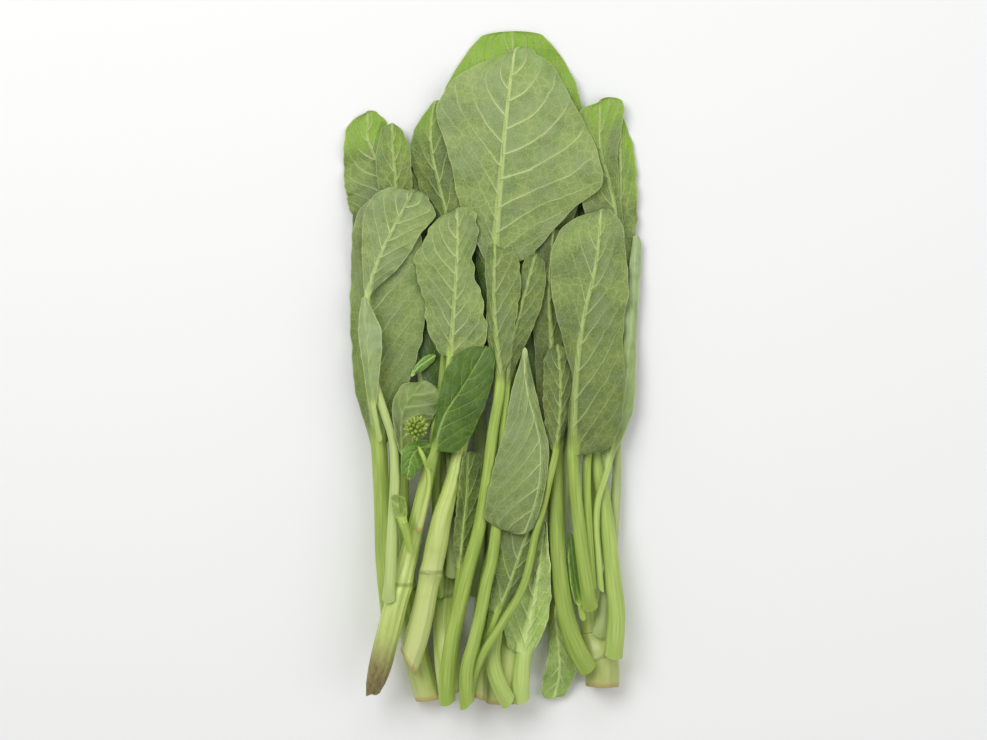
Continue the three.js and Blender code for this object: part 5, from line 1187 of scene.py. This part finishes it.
    def _lay(self, bunch: LaidBunch, x: np.ndarray, y: np.ndarray, z: np.ndarray) -> np.ndarray:
        """Lay the stem on the bunch, each station rising as one.

        Args:
            bunch: Everything that is laid so far.
            x: Places of the skin across.
            y: Places along.
            z: Heights of the skin.

        Returns:
            How far every station rises.
        """
        quarter = self.round_points // 4
        down = [(quarter - k) % self.round_points for k in range(2 * quarter + 1)]
        over = [(quarter + k) % self.round_points for k in range(2 * quarter + 1)]
        low, high = (down, over) if z[len(z) // 2, 0] < z[len(z) // 2, 2 * quarter] else (over, down)
        stiff = np.ones(len(x), bool)
        sheet = Sheet(x[:, high], y[:, high], z[:, high], z[:, low], stiff)
        before = sheet.top[:, 0].copy()
        bunch.settle(sheet)
        bunch.take(sheet)
        return sheet.top[:, 0] - before

    def _skin(self, rings: np.ndarray, u: np.ndarray, side: np.ndarray, up: np.ndarray,
              cut: np.ndarray, inset: np.ndarray) -> bpy.types.Object:
        """Roll the stem's skin with its notes.

        Args:
            rings: Points round every station.
            u: Share of the length at each station.
            side: Places across the axis.
            up: Places above the axis.
            cut: 1 on the cut face.
            inset: Share of the radius at each station.

        Returns:
            The stem's object.
        """
        def wrapped(values: np.ndarray) -> np.ndarray:
            """Return the values for every point of every ring."""
            values = np.broadcast_to(values if values.ndim == 2 else values[:, None], side.shape)
            return np.concatenate((values, values[:, :1]), axis=1)

        length = self.curve.length
        wither = self.plan.wither * (1 - ease(u * length, *self.withered_stretch))
        joint = np.full_like(side, length)
        for k, share in enumerate(self.plan.joints):
            beyond = (u[:, None] - share) * length + self.joint_leans[k % 2] * side
            joint = beyond if k == 0 else np.where(np.abs(beyond) < np.abs(joint), beyond, joint)
        notes = {"section": (side, up, u * length), "state": (cut, wither, np.full_like(u, self.plan.pale)),
                 "rim": (inset,), "height": (u,), "joint": (joint,)}
        notes = {key: [wrapped(values) for values in parts] for key, parts in notes.items()}
        return Skin("fresh_" + self.plan.name).roll(rings, notes, crease=self.crease)


@dataclass
class BudHead:
    """A small head of closed flower buds on short stalks."""

    plan: HeadPlan
    cover: float = 1.25               # buds cover the head from its top (0) towards its foot (2)
    heart: float = 0.72               # where the buds stand, as a share of the dome
    foot: tuple[float, float, float] = (0.0, -2.2, -1.0)            # where the short stalks meet
    stalk: tuple[float, float] = (0.45, 0.3)                        # their radii, foot and top
    clearance: float = 0.6            # least height over what lies below, in half heights
    scatter: float = 0.2              # how far they turn at random
    lean: tuple[float, float, float] = (0.0, 0.45, 0.15)            # which way the buds lean together
    sizes: tuple[float, float] = (0.72, 1.05)                       # smallest and largest bud

    def _bud(self) -> bpy.types.Object:
        """Shape one bud from a sphere: a drawn-in foot, a blunt tip and four grooves.

        Returns:
            The bud, its foot at the origin.
        """
        bpy.ops.object.select_all(action="DESELECT")
        bpy.ops.mesh.primitive_uv_sphere_add(segments=16, ring_count=10, radius=0.5)
        bud = bpy.context.object
        mesh = bud.data
        points = np.empty(len(mesh.vertices) * 3, np.float32)
        mesh.vertices.foreach_get("co", points)
        points = points.reshape(-1, 3)
        height = points[:, 2] + 0.5
        turn = np.arctan2(points[:, 1], points[:, 0])
        draw = (0.55 + 0.75 * np.sin(math.pi * np.clip(height, 0, 1) ** 0.75)) * 0.8
        groove = 1 - 0.1 * np.cos(4 * turn) ** 8 * np.sin(math.pi * height)
        points[:, :2] *= (self.plan.bud_width * draw * groove)[:, None]
        points[:, 2] = height * self.plan.bud_length
        mesh.vertices.foreach_set("co", (points * MM).reshape(-1))
        tip = mesh.attributes.new("tip", "FLOAT", "POINT")
        tip.data.foreach_set("value", height.astype(np.float32))
        return bud

    def _stalk(self, foot: Vector, head: Vector) -> bpy.types.Object:
        """Stand one short stalk between two points.

        Args:
            foot: Where it begins.
            head: Where it ends.

        Returns:
            The stalk.
        """
        bpy.ops.object.select_all(action="DESELECT")
        axis = head - foot
        bpy.ops.mesh.primitive_cone_add(vertices=8, radius1=self.stalk[0] * MM, radius2=self.stalk[1] * MM,
                                        depth=axis.length, location=(foot + head) / 2,
                                        rotation=axis.to_track_quat("Z", "Y").to_euler())
        stalk = bpy.context.object
        bpy.ops.object.mode_set(mode="EDIT")
        bpy.ops.mesh.select_all(action="SELECT")
        bpy.ops.mesh.subdivide(number_cuts=1)
        bpy.ops.object.mode_set(mode="OBJECT")
        bpy.ops.object.transform_apply(location=True, rotation=True, scale=True)
        tip = stalk.data.attributes.new("tip", "FLOAT", "POINT")
        tip.data.foreach_set("value", np.zeros(len(stalk.data.vertices), np.float32))
        return stalk

    def build(self, bunch: LaidBunch) -> bpy.types.Object:
        """Build the head where its node lies.

        Args:
            bunch: Everything that is laid so far.

        Returns:
            The head's object.
        """
        plan = self.plan
        low, high = (Vector(corner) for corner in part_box(plan.name))
        dice = np.random.default_rng(plan.seed)
        centre = (low + high) / 2
        x, y = (np.array([[centre.x / MM]]), np.array([[centre.y / MM]]))
        ground = float(widest(widest(bunch.height, 3, 0), 3, 1)[bunch._cells(x, y)][0, 0]) * MM
        centre.z = max(centre.z, ground + self.clearance * plan.dome[2] * MM)
        foot = centre + Vector(self.foot) * MM
        model = self._bud()
        pieces = []
        golden = math.pi * (3 - math.sqrt(5))
        for i in range(plan.buds):
            rise = 1 - (i + 0.5) / plan.buds * self.cover
            flat = math.sqrt(max(0.0, 1 - rise * rise))
            turn = i * golden + dice.uniform(-self.scatter, self.scatter)
            way = Vector((flat * math.cos(turn), flat * math.sin(turn), rise))
            spot = centre + Vector([part * size for part, size in zip(way, plan.dome)]) * MM * self.heart
            lean = (way + Vector(self.lean)).normalized()
            bud = bpy.data.objects.new(f"bud_{i}", model.data.copy())
            bpy.context.collection.objects.link(bud)
            scale = dice.uniform(*self.sizes)
            bud.location = spot
            bud.scale = (scale, scale, scale)
            bud.rotation_euler = lean.to_track_quat("Z", "Y").to_euler()
            pieces.append(bud)
            if i % 2 == 0:
                pieces.append(self._stalk(foot, spot))
        bpy.data.objects.remove(model)
        bpy.ops.object.select_all(action="DESELECT")
        for piece in pieces:
            piece.select_set(True)
        bpy.context.view_layer.objects.active = pieces[0]
        bpy.ops.object.join()
        head = bpy.context.object
        head.name = head.data.name = "fresh_" + plan.name
        bpy.ops.object.transform_apply(location=True, rotation=True, scale=True)
        bpy.ops.object.shade_smooth_by_angle(angle=math.radians(60))
        LOG.info("%s: %d faces", head.name, len(head.data.polygons))
        return head


Feed = Union["Value", bpy.types.NodeSocket, float, int, tuple]


class Value:
    """A number that varies over a surface: arithmetic on it adds Math nodes."""

    def __init__(self, bench: "Bench", socket: bpy.types.NodeSocket) -> None:
        """Hold a socket and the bench that its nodes stand on."""
        self.bench = bench
        self.socket = socket

    def _math(self, operation: str, *feeds: Feed) -> "Value":
        """Return the result of one Math node."""
        node = self.bench.node("ShaderNodeMath", {"operation": operation}, dict(enumerate(feeds)))
        return Value(self.bench, node.outputs[0])

    def __add__(self, other: Feed) -> "Value":
        """Return the sum."""
        return self._math("ADD", self, other)

    __radd__ = __add__

    def __sub__(self, other: Feed) -> "Value":
        """Return the difference."""
        return self._math("SUBTRACT", self, other)

    def __rsub__(self, other: Feed) -> "Value":
        """Return the difference from another value."""
        return self._math("SUBTRACT", other, self)

    def __mul__(self, other: Feed) -> "Value":
        """Return the product."""
        return self._math("MULTIPLY", self, other)

    __rmul__ = __mul__

    def __truediv__(self, other: Feed) -> "Value":
        """Return the quotient."""
        return self._math("DIVIDE", self, other)

    def part(self) -> "Value":
        """Return what is left above the whole number."""
        return self._math("FRACT", self)

    def size(self) -> "Value":
        """Return the value without its sign."""
        return self._math("ABSOLUTE", self)

    def most(self, other: Feed) -> "Value":
        """Return the larger of two values."""
        return self._math("MAXIMUM", self, other)

    def least(self, other: Feed) -> "Value":
        """Return the smaller of two values."""
        return self._math("MINIMUM", self, other)

    def step(self, low: Feed, high: Feed) -> "Value":
        """Return the smooth step from 0 at low to 1 at high."""
        node = self.bench.node("ShaderNodeMapRange", {"interpolation_type": "SMOOTHSTEP"},
                               {0: self, 1: low, 2: high, 3: 0.0, 4: 1.0})
        return Value(self.bench, node.outputs[0])


class Bench:
    """The nodes of one material."""

    def __init__(self, name: str) -> None:
        """Start an empty material.

        Args:
            name: Name of the material.
        """
        self.material = bpy.data.materials.new(name)
        self.material.use_nodes = True
        self.tree = self.material.node_tree
        self.tree.nodes.clear()

    def node(self, kind: str, settings: dict[str, Any], sockets: dict[Any, Feed]) -> bpy.types.Node:
        """Add a node.

        Args:
            kind: Type of the node.
            settings: Its own settings, set before its sockets.
            sockets: Values or links by the name or number of the socket.

        Returns:
            The node.
        """
        node = self.tree.nodes.new(kind)
        for key, value in settings.items():
            setattr(node, key, value)
        for key, feed in sockets.items():
            if isinstance(feed, Value):
                feed = feed.socket
            if isinstance(feed, bpy.types.NodeSocket):
                self.tree.links.new(feed, node.inputs[key])
            else:
                node.inputs[key].default_value = feed
        return node

    def note(self, name: str) -> bpy.types.Node:
        """Return the node that reads a point attribute."""
        return self.node("ShaderNodeAttribute", {"attribute_type": "GEOMETRY", "attribute_name": name}, {})

    def number(self, name: str) -> Value:
        """Return a single value stored at the points."""
        return Value(self, self.note(name).outputs["Fac"])

    def three(self, name: str) -> tuple[Value, Value, Value]:
        """Return the three values stored at the points under one name."""
        parts = self.node("ShaderNodeSeparateXYZ", {}, {0: self.note(name).outputs["Vector"]}).outputs
        return Value(self, parts[0]), Value(self, parts[1]), Value(self, parts[2])

    def vector(self, x: Feed, y: Feed, z: Feed) -> bpy.types.NodeSocket:
        """Return a vector of three values."""
        return self.node("ShaderNodeCombineXYZ", {}, {0: x, 1: y, 2: z}).outputs[0]

    def scaled(self, vector: Feed, size: float) -> bpy.types.NodeSocket:
        """Return a vector made longer."""
        node = self.node("ShaderNodeVectorMath", {"operation": "SCALE"}, {0: vector, "Scale": size})
        return node.outputs[0]

    def moved(self, vector: Feed, by: Feed) -> bpy.types.NodeSocket:
        """Return the sum of two vectors."""
        return self.node("ShaderNodeVectorMath", {"operation": "ADD"}, {0: vector, 1: by}).outputs[0]

    def noise(self, place: Feed, scale: float, detail: float = 2.0) -> bpy.types.Node:
        """Return a Noise node: its outputs are the value and a colour."""
        return self.node("ShaderNodeTexNoise", {"noise_dimensions": "3D"},
                         {"Vector": place, "Scale": scale, "Detail": detail, "Roughness": 0.5})

    def cloud(self, place: Feed, scale: float, detail: float = 2.0) -> Value:
        """Return the value of a Noise node."""
        return Value(self, self.noise(place, scale, detail).outputs[0])

    def cells(self, place: Feed, scale: float) -> Value:
        """Return the distance to the nearest edge of a net of cells."""
        node = self.node("ShaderNodeTexVoronoi", {"feature": "DISTANCE_TO_EDGE", "voronoi_dimensions": "2D"},
                         {"Vector": place, "Scale": scale, "Randomness": 1.0})
        return Value(self, node.outputs["Distance"])

    def mix(self, share: Feed, low: Feed, high: Feed, kind: str = "MIX") -> bpy.types.NodeSocket:
        """Return a mix of two colours."""
        node = self.node("ShaderNodeMix", {"data_type": "RGBA", "blend_type": kind, "clamp_factor": True},
                         {0: share, 6: low, 7: high})
        return node.outputs[2]

    def coats(self, colour: Feed, *layers: tuple[Feed, Feed]) -> Feed:
        """Lay colours over a first one.

        Args:
            colour: The lowest colour.
            layers: The others from below, each a share and its colour.

        Returns:
            The colour that they give together.
        """
        for share, layer in layers:
            colour = self.mix(share, colour, layer)
        return colour

    def finish(self, colour: Feed, roughness: Feed, height: Value,
               settings: dict[str, Feed]) -> bpy.types.Material:
        """Close the material with one shader.

        Args:
            colour: Colour of the surface.
            roughness: Its roughness.
            height: Relief in millimetres.
            settings: Constants for the shader's other sockets.

        Returns:
            The material.
        """
        bump = self.node("ShaderNodeBump", {}, {"Strength": 1.0, "Distance": MM, "Height": height})
        sockets = {"Base Color": colour, "Roughness": roughness, "Normal": bump.outputs[0], **settings}
        shader = self.node("ShaderNodeBsdfPrincipled", {}, sockets)
        self.node("ShaderNodeOutputMaterial", {}, {"Surface": shader.outputs[0]})
        return self.material


def paint(red: float, green: float, blue: float) -> tuple[float, float, float, float]:
    """Turn a colour into the shader's own numbers.

    Args:
        red: Share of red, 0 to 255.
        green: Share of green.
        blue: Share of blue.

    Returns:
        The colour, opaque.
    """
    def straight(value: float) -> float:
        """Return one channel without its display curve."""
        share = value / 255.0
        return share / 12.92 if share <= 0.04045 else ((share + 0.055) / 1.055) ** 2.4
    return straight(red), straight(green), straight(blue), 1.0


@dataclass(frozen=True)
class LeafFinish:
    """The skin of one side of a leaf: lamina, veins, net, stalk and bloom, with painted glow and painted
    shade.
    """

    name: str
    deep: tuple
    lamina: tuple
    light: tuple
    sunny: tuple                      # yellower patches
    dull: tuple                       # greyer patches
    bloom: tuple                      # the pale cast of a leaf with much wax
    glow: tuple                       # painted glow where a single layer would let the light through
    margin: tuple                     # the thin pale line along the margin
    vein: tuple
    stalk: tuple
    stalk_deep: tuple
    stalk_pale: tuple
    roughness: float
    vein_relief: float                # how far the laterals stand out, sunken when negative
    net_relief: float
    vein_width: float = 0.68
    midrib_edge: tuple[float, float] = (0.75, 1.35)
    broad_scale: float = 45.0         # clouds, per metre
    middling_scale: float = 160.0
    patch_scale: float = 70.0
    fine_scale: float = 1900.0
    net_scales: tuple[float, float] = (0.26, 0.72)      # coarse and fine cells, per millimetre

    def build(self) -> bpy.types.Material:
        """Build the nodes of the finish.

        Returns:
            The material.
        """
        bench = Bench(self.name)
        place = bench.node("ShaderNodeTexCoord", {}, {}).outputs["Object"]
        phase, across, spacing = bench.three("vein")
        offset, along, clear = bench.three("place")
        glow, shade, pale = bench.three("look")
        rib, spread = bench.number("rib"), bench.number("blade")
        broad = bench.cloud(place, self.broad_scale)
        middling = bench.cloud(place, self.middling_scale, 3.0)
        patches = bench.cloud(bench.moved(place, (0.3, 0.1, 0.7)), self.patch_scale)
        fine = bench.cloud(place, self.fine_scale)
        # lateral veins, drifting a little, thick at the midrib and gone at the margin
        drift = (broad - 0.5) * 0.42 + (middling - 0.5) * 0.1
        away = ((phase + drift).part() - 0.5).size() * spacing
        half = (1.0 - across * 0.6) * self.vein_width
        lateral = 1.0 - away.step(half * 0.35, half * 1.25)
        beside = 1.0 - away.step(half, half * 3.2)
        reach = (1.0 - across.step(0.78, 1.0)) * spread
        lateral, beside = lateral * reach, beside * reach
        # thinner veins between them, and the net
        between = ((phase * 2.0 + drift * 2.6 + 0.5).part() - 0.5).size() * spacing * 0.5
        branch = (1.0 - between.step(0.08, 0.34)) * across.step(0.2, 0.45) * reach
        flat = bench.vector(offset, along, 0.0)
        warp = bench.scaled(bench.noise(bench.vector(offset, along, 1.0), 0.35).outputs[1], 1.6)
        woven = bench.moved(flat, warp)
        coarse_net, fine_net = (bench.cells(woven, scale) for scale in self.net_scales)
        net = (1.0 - coarse_net.step(0.0, 0.14)) * spread * clear
        mesh = (1.0 - fine_net.step(0.0, 0.24)) * spread * clear
        midrib = (1.0 - rib.step(*self.midrib_edge)) * spread * clear
        to_margin = offset.size() * (1.0 - across) / across.most(0.02)
        rim = (1.0 - to_margin.step(0.12, 0.55)) * spread
        # colour
        tone = broad.step(0.36, 0.64) * 0.5 + middling.step(0.36, 0.64) * 0.5
        web = mesh * 0.26 + net * (0.1 + 0.35 * patches.step(0.35, 0.65)) + branch * 0.5 + beside * 0.25
        # the coats include a painted glow where light would come through one layer, and a deeper green inside
        # the net's cells that is partly the lamina's own and partly painted shade between the raised veins
        colour = bench.coats(
            bench.mix(tone, self.deep, self.lamina),
            (patches.step(0.46, 0.62) * 0.6, self.sunny),
            ((1.0 - patches.step(0.34, 0.5)) * 0.55, self.dull),
            (fine.step(0.45, 0.8) * 0.4, self.light),
            (coarse_net.step(0.06, 0.5) * 0.4 * middling.step(0.35, 0.65), self.deep),
            (pale * (0.45 + 0.55 * middling.step(0.3, 0.7)), self.bloom),
            (glow * (0.65 + 0.35 * tone), self.glow),
            (web, self.light),
            (lateral * (0.15 + 0.7 * clear), self.vein),
            (rim * 0.45, self.margin))
        streak = bench.cloud(bench.vector(offset * 1.1, along * 0.05, 3.0), 1.0)
        stalk = bench.coats(self.stalk_deep, (streak.step(0.25, 0.7), self.stalk),
                            (pale * 0.8, self.stalk_pale))
        crest = bench.mix(spread * 0.5, stalk, self.vein)
        colour = bench.coats(colour, (midrib * 0.9, crest), (1.0 - spread, stalk))
        # painted shade and painted light: each leaf's brightness multiplies its colour, less on the midrib
        # and laterals
        shade = shade + (1.0 - shade).most(0.0) * (midrib * 0.7).most(lateral * 0.45)
        cast = bench.vector(shade, shade, shade)
        colour = bench.mix(1.0, colour, cast, "MULTIPLY")
        # relief in millimetres
        height = (lateral + beside * 0.5) * (1.0 - across * 0.8) * (0.2 + 0.8 * clear) * self.vein_relief
        height = height + branch * (self.net_relief * 1.3) + net * self.net_relief
        height = height + mesh * (self.net_relief * 0.4)
        height = height + fine * 0.015 + middling * 0.12 + streak * (0.3 * (1.0 - spread))
        roughness = self.roughness + 0.1 * (middling - 0.5) + 0.05 * lateral - 0.08 * (1.0 - spread)
        return bench.finish(colour, roughness, height, {"Specular IOR Level": 0.3, "Coat Weight": 0.03,
                                                        "Coat Roughness": 0.35})


UNDERSIDE = LeafFinish(
    "leaf_underside", deep=paint(84, 110, 42), lamina=paint(128, 152, 70), light=paint(166, 184, 114),
    sunny=paint(142, 160, 66), dull=paint(128, 142, 98), bloom=paint(152, 170, 126),
    glow=paint(142, 188, 44), margin=paint(190, 205, 140), vein=paint(190, 206, 138),
    stalk=paint(182, 204, 100), stalk_deep=paint(150, 180, 76), stalk_pale=paint(208, 220, 164),
    roughness=0.5, vein_relief=0.26, net_relief=0.1)
UPPERSIDE = LeafFinish(
    "leaf_upperside", deep=paint(60, 92, 14), lamina=paint(88, 124, 26), light=paint(116, 156, 60),
    sunny=paint(100, 136, 34), dull=paint(78, 112, 52), bloom=paint(120, 150, 92),
    glow=paint(140, 180, 50), margin=paint(150, 182, 90), vein=paint(150, 182, 84),
    stalk=paint(172, 196, 96), stalk_deep=paint(138, 170, 66), stalk_pale=paint(200, 214, 150),
    roughness=0.4, vein_relief=-0.2, net_relief=-0.08, vein_width=0.4, midrib_edge=(0.35, 0.8))


@dataclass(frozen=True)
class StemFinish:
    """The waxy ribbed skin of a stem, its cut face and its withered end."""

    name: str = "stem_skin"
    green: tuple = paint(158, 187, 72)
    light: tuple = paint(202, 220, 116)
    pale: tuple = paint(210, 220, 144)
    joint: tuple = paint(96, 116, 48)
    cream: tuple = paint(206, 208, 138)
    cut_rim: tuple = paint(184, 158, 92)
    cut_pith: tuple = paint(214, 214, 160)
    brown: tuple = paint(150, 134, 84)
    brown_deep: tuple = paint(112, 98, 54)
    roughness: float = 0.32

    def build(self) -> bpy.types.Material:
        """Build the nodes of the finish.

        Returns:
            The material.
        """
        bench = Bench(self.name)
        side, up, along = bench.three("section")
        cut, wither, pale = bench.three("state")
        rim, height_share = bench.number("rim"), bench.number("height")
        joint = bench.number("joint")
        length = bench.vector(side, up, along * 0.045)
        lines = bench.cloud(length, 0.6)
        threads = bench.cloud(length, 3.4)
        blotch = bench.cloud(bench.vector(side, up, along), 0.11, 3.0)
        spots = bench.cloud(bench.vector(side, up, along * 0.5), 0.7, 3.0)
        low = 1.0 - height_share.step(0.0, 0.75)
        above = joint.step(-0.1, 0.3) * (1.0 - joint.step(2.0, 14.0))
        scar = 1.0 - (joint + (blotch - 0.5) * 1.6).size().step(0.1, 1.7)
        withered = (wither * (0.65 + lines * 0.7)).least(1.0)
        rings = bench.cloud(bench.vector(rim * 6.0, side * 0.4, up * 0.4), 1.0)
        brown = bench.mix(spots.step(0.25, 0.75), self.brown_deep, self.brown)
        face = bench.coats(
            self.cut_pith,
            (rim.step(0.55, 0.97), self.cut_rim),
            (rings.step(0.4, 0.7) * 0.4, self.cut_rim),
            (wither * 0.75, brown))
        colour = bench.coats(
            self.green,
            (lines.step(0.28, 0.7), self.light),
            (low * 0.35 + pale * (0.3 + 0.5 * low), self.pale),
            (threads.step(0.5, 0.72) * 0.3, self.light),
            (blotch.step(0.52, 0.78) * 0.35, self.green),
            (above * 0.4, self.pale),
            ((1.0 - along.step(1.0, 11.0)) * (0.35 + 0.3 * lines), self.cream),
            ((1.0 - along.step(0.4, 3.0)) * (0.3 + 0.4 * blotch), self.cut_rim),
            (scar * 0.5, self.joint),
            (withered, brown),
            (cut, face))
        height = lines * 0.36 + threads * 0.07 + spots * 0.03 + spots * wither * 0.5 - scar * 0.2
        roughness = self.roughness + 0.12 * (blotch - 0.5) + 0.3 * withered + 0.25 * cut
        return bench.finish(colour, roughness, height, {"Specular IOR Level": 0.5, "Coat Weight": 0.2,
                                                        "Coat Roughness": 0.2})


@dataclass(frozen=True)
class BudFinish:
    """The skin of closed flower buds: green below, a yellow tip."""

    name: str = "bud_skin"
    green: tuple = paint(126, 154, 56)
    light: tuple = paint(174, 194, 90)
    tip_colour: tuple = paint(212, 208, 96)
    roughness: float = 0.5

    def build(self) -> bpy.types.Material:
        """Build the nodes of the finish.

        Returns:
            The material.
        """
        bench = Bench(self.name)
        place = bench.node("ShaderNodeTexCoord", {}, {}).outputs["Object"]
        tip = bench.number("tip")
        mottle = bench.cloud(place, 900.0)
        broad = bench.cloud(place, 260.0, 1.0)
        colour = bench.coats(self.green, (mottle.step(0.3, 0.7), self.light),
                             (tip.step(0.6, 1.0) * broad.step(0.4, 0.62) * 0.7, self.tip_colour))
        height = mottle * 0.08
        return bench.finish(colour, self.roughness, height, {"Specular IOR Level": 0.45})


@dataclass(frozen=True)
class FloorFinish:
    """A plain pale table top."""

    name: str = "pale_floor"
    colour: tuple = (0.97, 0.97, 0.965, 1.0)
    roughness: float = 0.75

    def build(self) -> bpy.types.Material:
        """Build the nodes of the finish.

        Returns:
            The material.
        """
        bench = Bench(self.name)
        place = bench.node("ShaderNodeTexCoord", {}, {}).outputs["Object"]
        grain = bench.cloud(place, 320.0)
        return bench.finish(self.colour, self.roughness, grain * 0.01, {"Specular IOR Level": 0.2})


@dataclass
class Studio:
    """Pale table, soft lamps and the camera that looks straight down."""

    lens: float = 100.0
    sensor: float = 36.0
    view_width: float = 0.44415       # what the picture spans at the middle of the bunch
    view_centre: tuple[float, float] = (0.000485, 0.000344)
    middle_height: float = 0.022
    floor_size: float = 3.0
    lamps: tuple = (
        ("key", (-0.55, 0.55, 1.15), 0.9, 9.0),
        ("fill", (0.75, -0.1, 1.0), 1.0, 3.2),
        ("back", (0.1, 0.95, 0.8), 0.8, 2.4),
    )
    sky: float = 0.36

    def build(self) -> None:
        """Build the table, the lamps and the camera."""
        self._floor()
        for name, place, size, power in self.lamps:
            self._lamp(name, Vector(place), size, power)
        world = bpy.data.worlds.new("soft_room")
        world.use_nodes = True
        world.node_tree.nodes["Background"].inputs[0].default_value = (1.0, 1.0, 1.0, 1.0)
        world.node_tree.nodes["Background"].inputs[1].default_value = self.sky
        bpy.context.scene.world = world
        bpy.context.scene.view_settings.view_transform = "Standard"
        self._camera()

    def _floor(self) -> None:
        """Build the table top."""
        bpy.ops.object.select_all(action="DESELECT")
        bpy.ops.mesh.primitive_plane_add(size=self.floor_size)
        floor = bpy.context.object
        floor.name = "pale_floor"
        floor.data.materials.append(FloorFinish().build())

    def _lamp(self, name: str, place: Vector, size: float, power: float) -> None:
        """Hang one soft lamp that faces the bunch.

        Args:
            name: Name of the lamp.
            place: Where it hangs, in metres.
            size: Width of its disk.
            power: Its power in watts.
        """
        bpy.ops.object.light_add(type="AREA", location=place)
        lamp = bpy.context.object
        lamp.name = lamp.data.name = name + "_lamp"
        lamp.data.shape = "DISK"
        lamp.data.size = size
        lamp.data.energy = power
        lamp.rotation_euler = (-place).to_track_quat("-Z", "Y").to_euler()

    def _camera(self) -> None:
        """Place the camera so that the picture spans its width at the bunch's middle height."""
        distance = self.view_width * self.lens / self.sensor
        place = (self.view_centre[0], self.view_centre[1], distance + self.middle_height)
        bpy.ops.object.camera_add(location=place, rotation=(0.0, 0.0, 0.0))
        camera = bpy.context.object
        camera.data.lens = self.lens
        camera.data.sensor_width = self.sensor
        camera.data.clip_end = 10.0
        bpy.context.scene.camera = camera


def dress(piece: bpy.types.Object, node: str, slot: Slot, *finishes: bpy.types.Material) -> None:
    """Give a piece its materials and its place in the frame.

    Args:
        piece: The finished object.
        node: The node that it stands for.
        slot: Not used.
        finishes: Its materials in order.
    """
    piece.data.materials.clear()
    for finish in finishes:
        piece.data.materials.append(finish)
    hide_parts(node)
    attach(piece, BODY)


def main() -> None:
    """Build the bunch from the table up, then the studio round it."""
    logging.basicConfig(level=logging.INFO, format="%(name)s: %(message)s")
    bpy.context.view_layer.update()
    Studio().build()
    underside, upperside = UNDERSIDE.build(), UPPERSIDE.build()
    stem_skin, bud_skin = StemFinish().build(), BudFinish().build()
    bunch = LaidBunch()
    for seed, plan in enumerate(PLANS):
        if isinstance(plan, LeafPlan):
            sides = (underside, upperside) if plan.face is Face.UNDER else (upperside, underside)
            dress(Leaf(plan, seed).build(bunch), plan.name, Slot.LEAF, *sides)
        elif isinstance(plan, StemPlan):
            dress(Stem(plan, seed).build(bunch), plan.name, Slot.STEM, stem_skin)
        else:
            dress(BudHead(plan).build(bunch), plan.name, Slot.BUD, bud_skin)


if __name__ == "__main__":
    main()
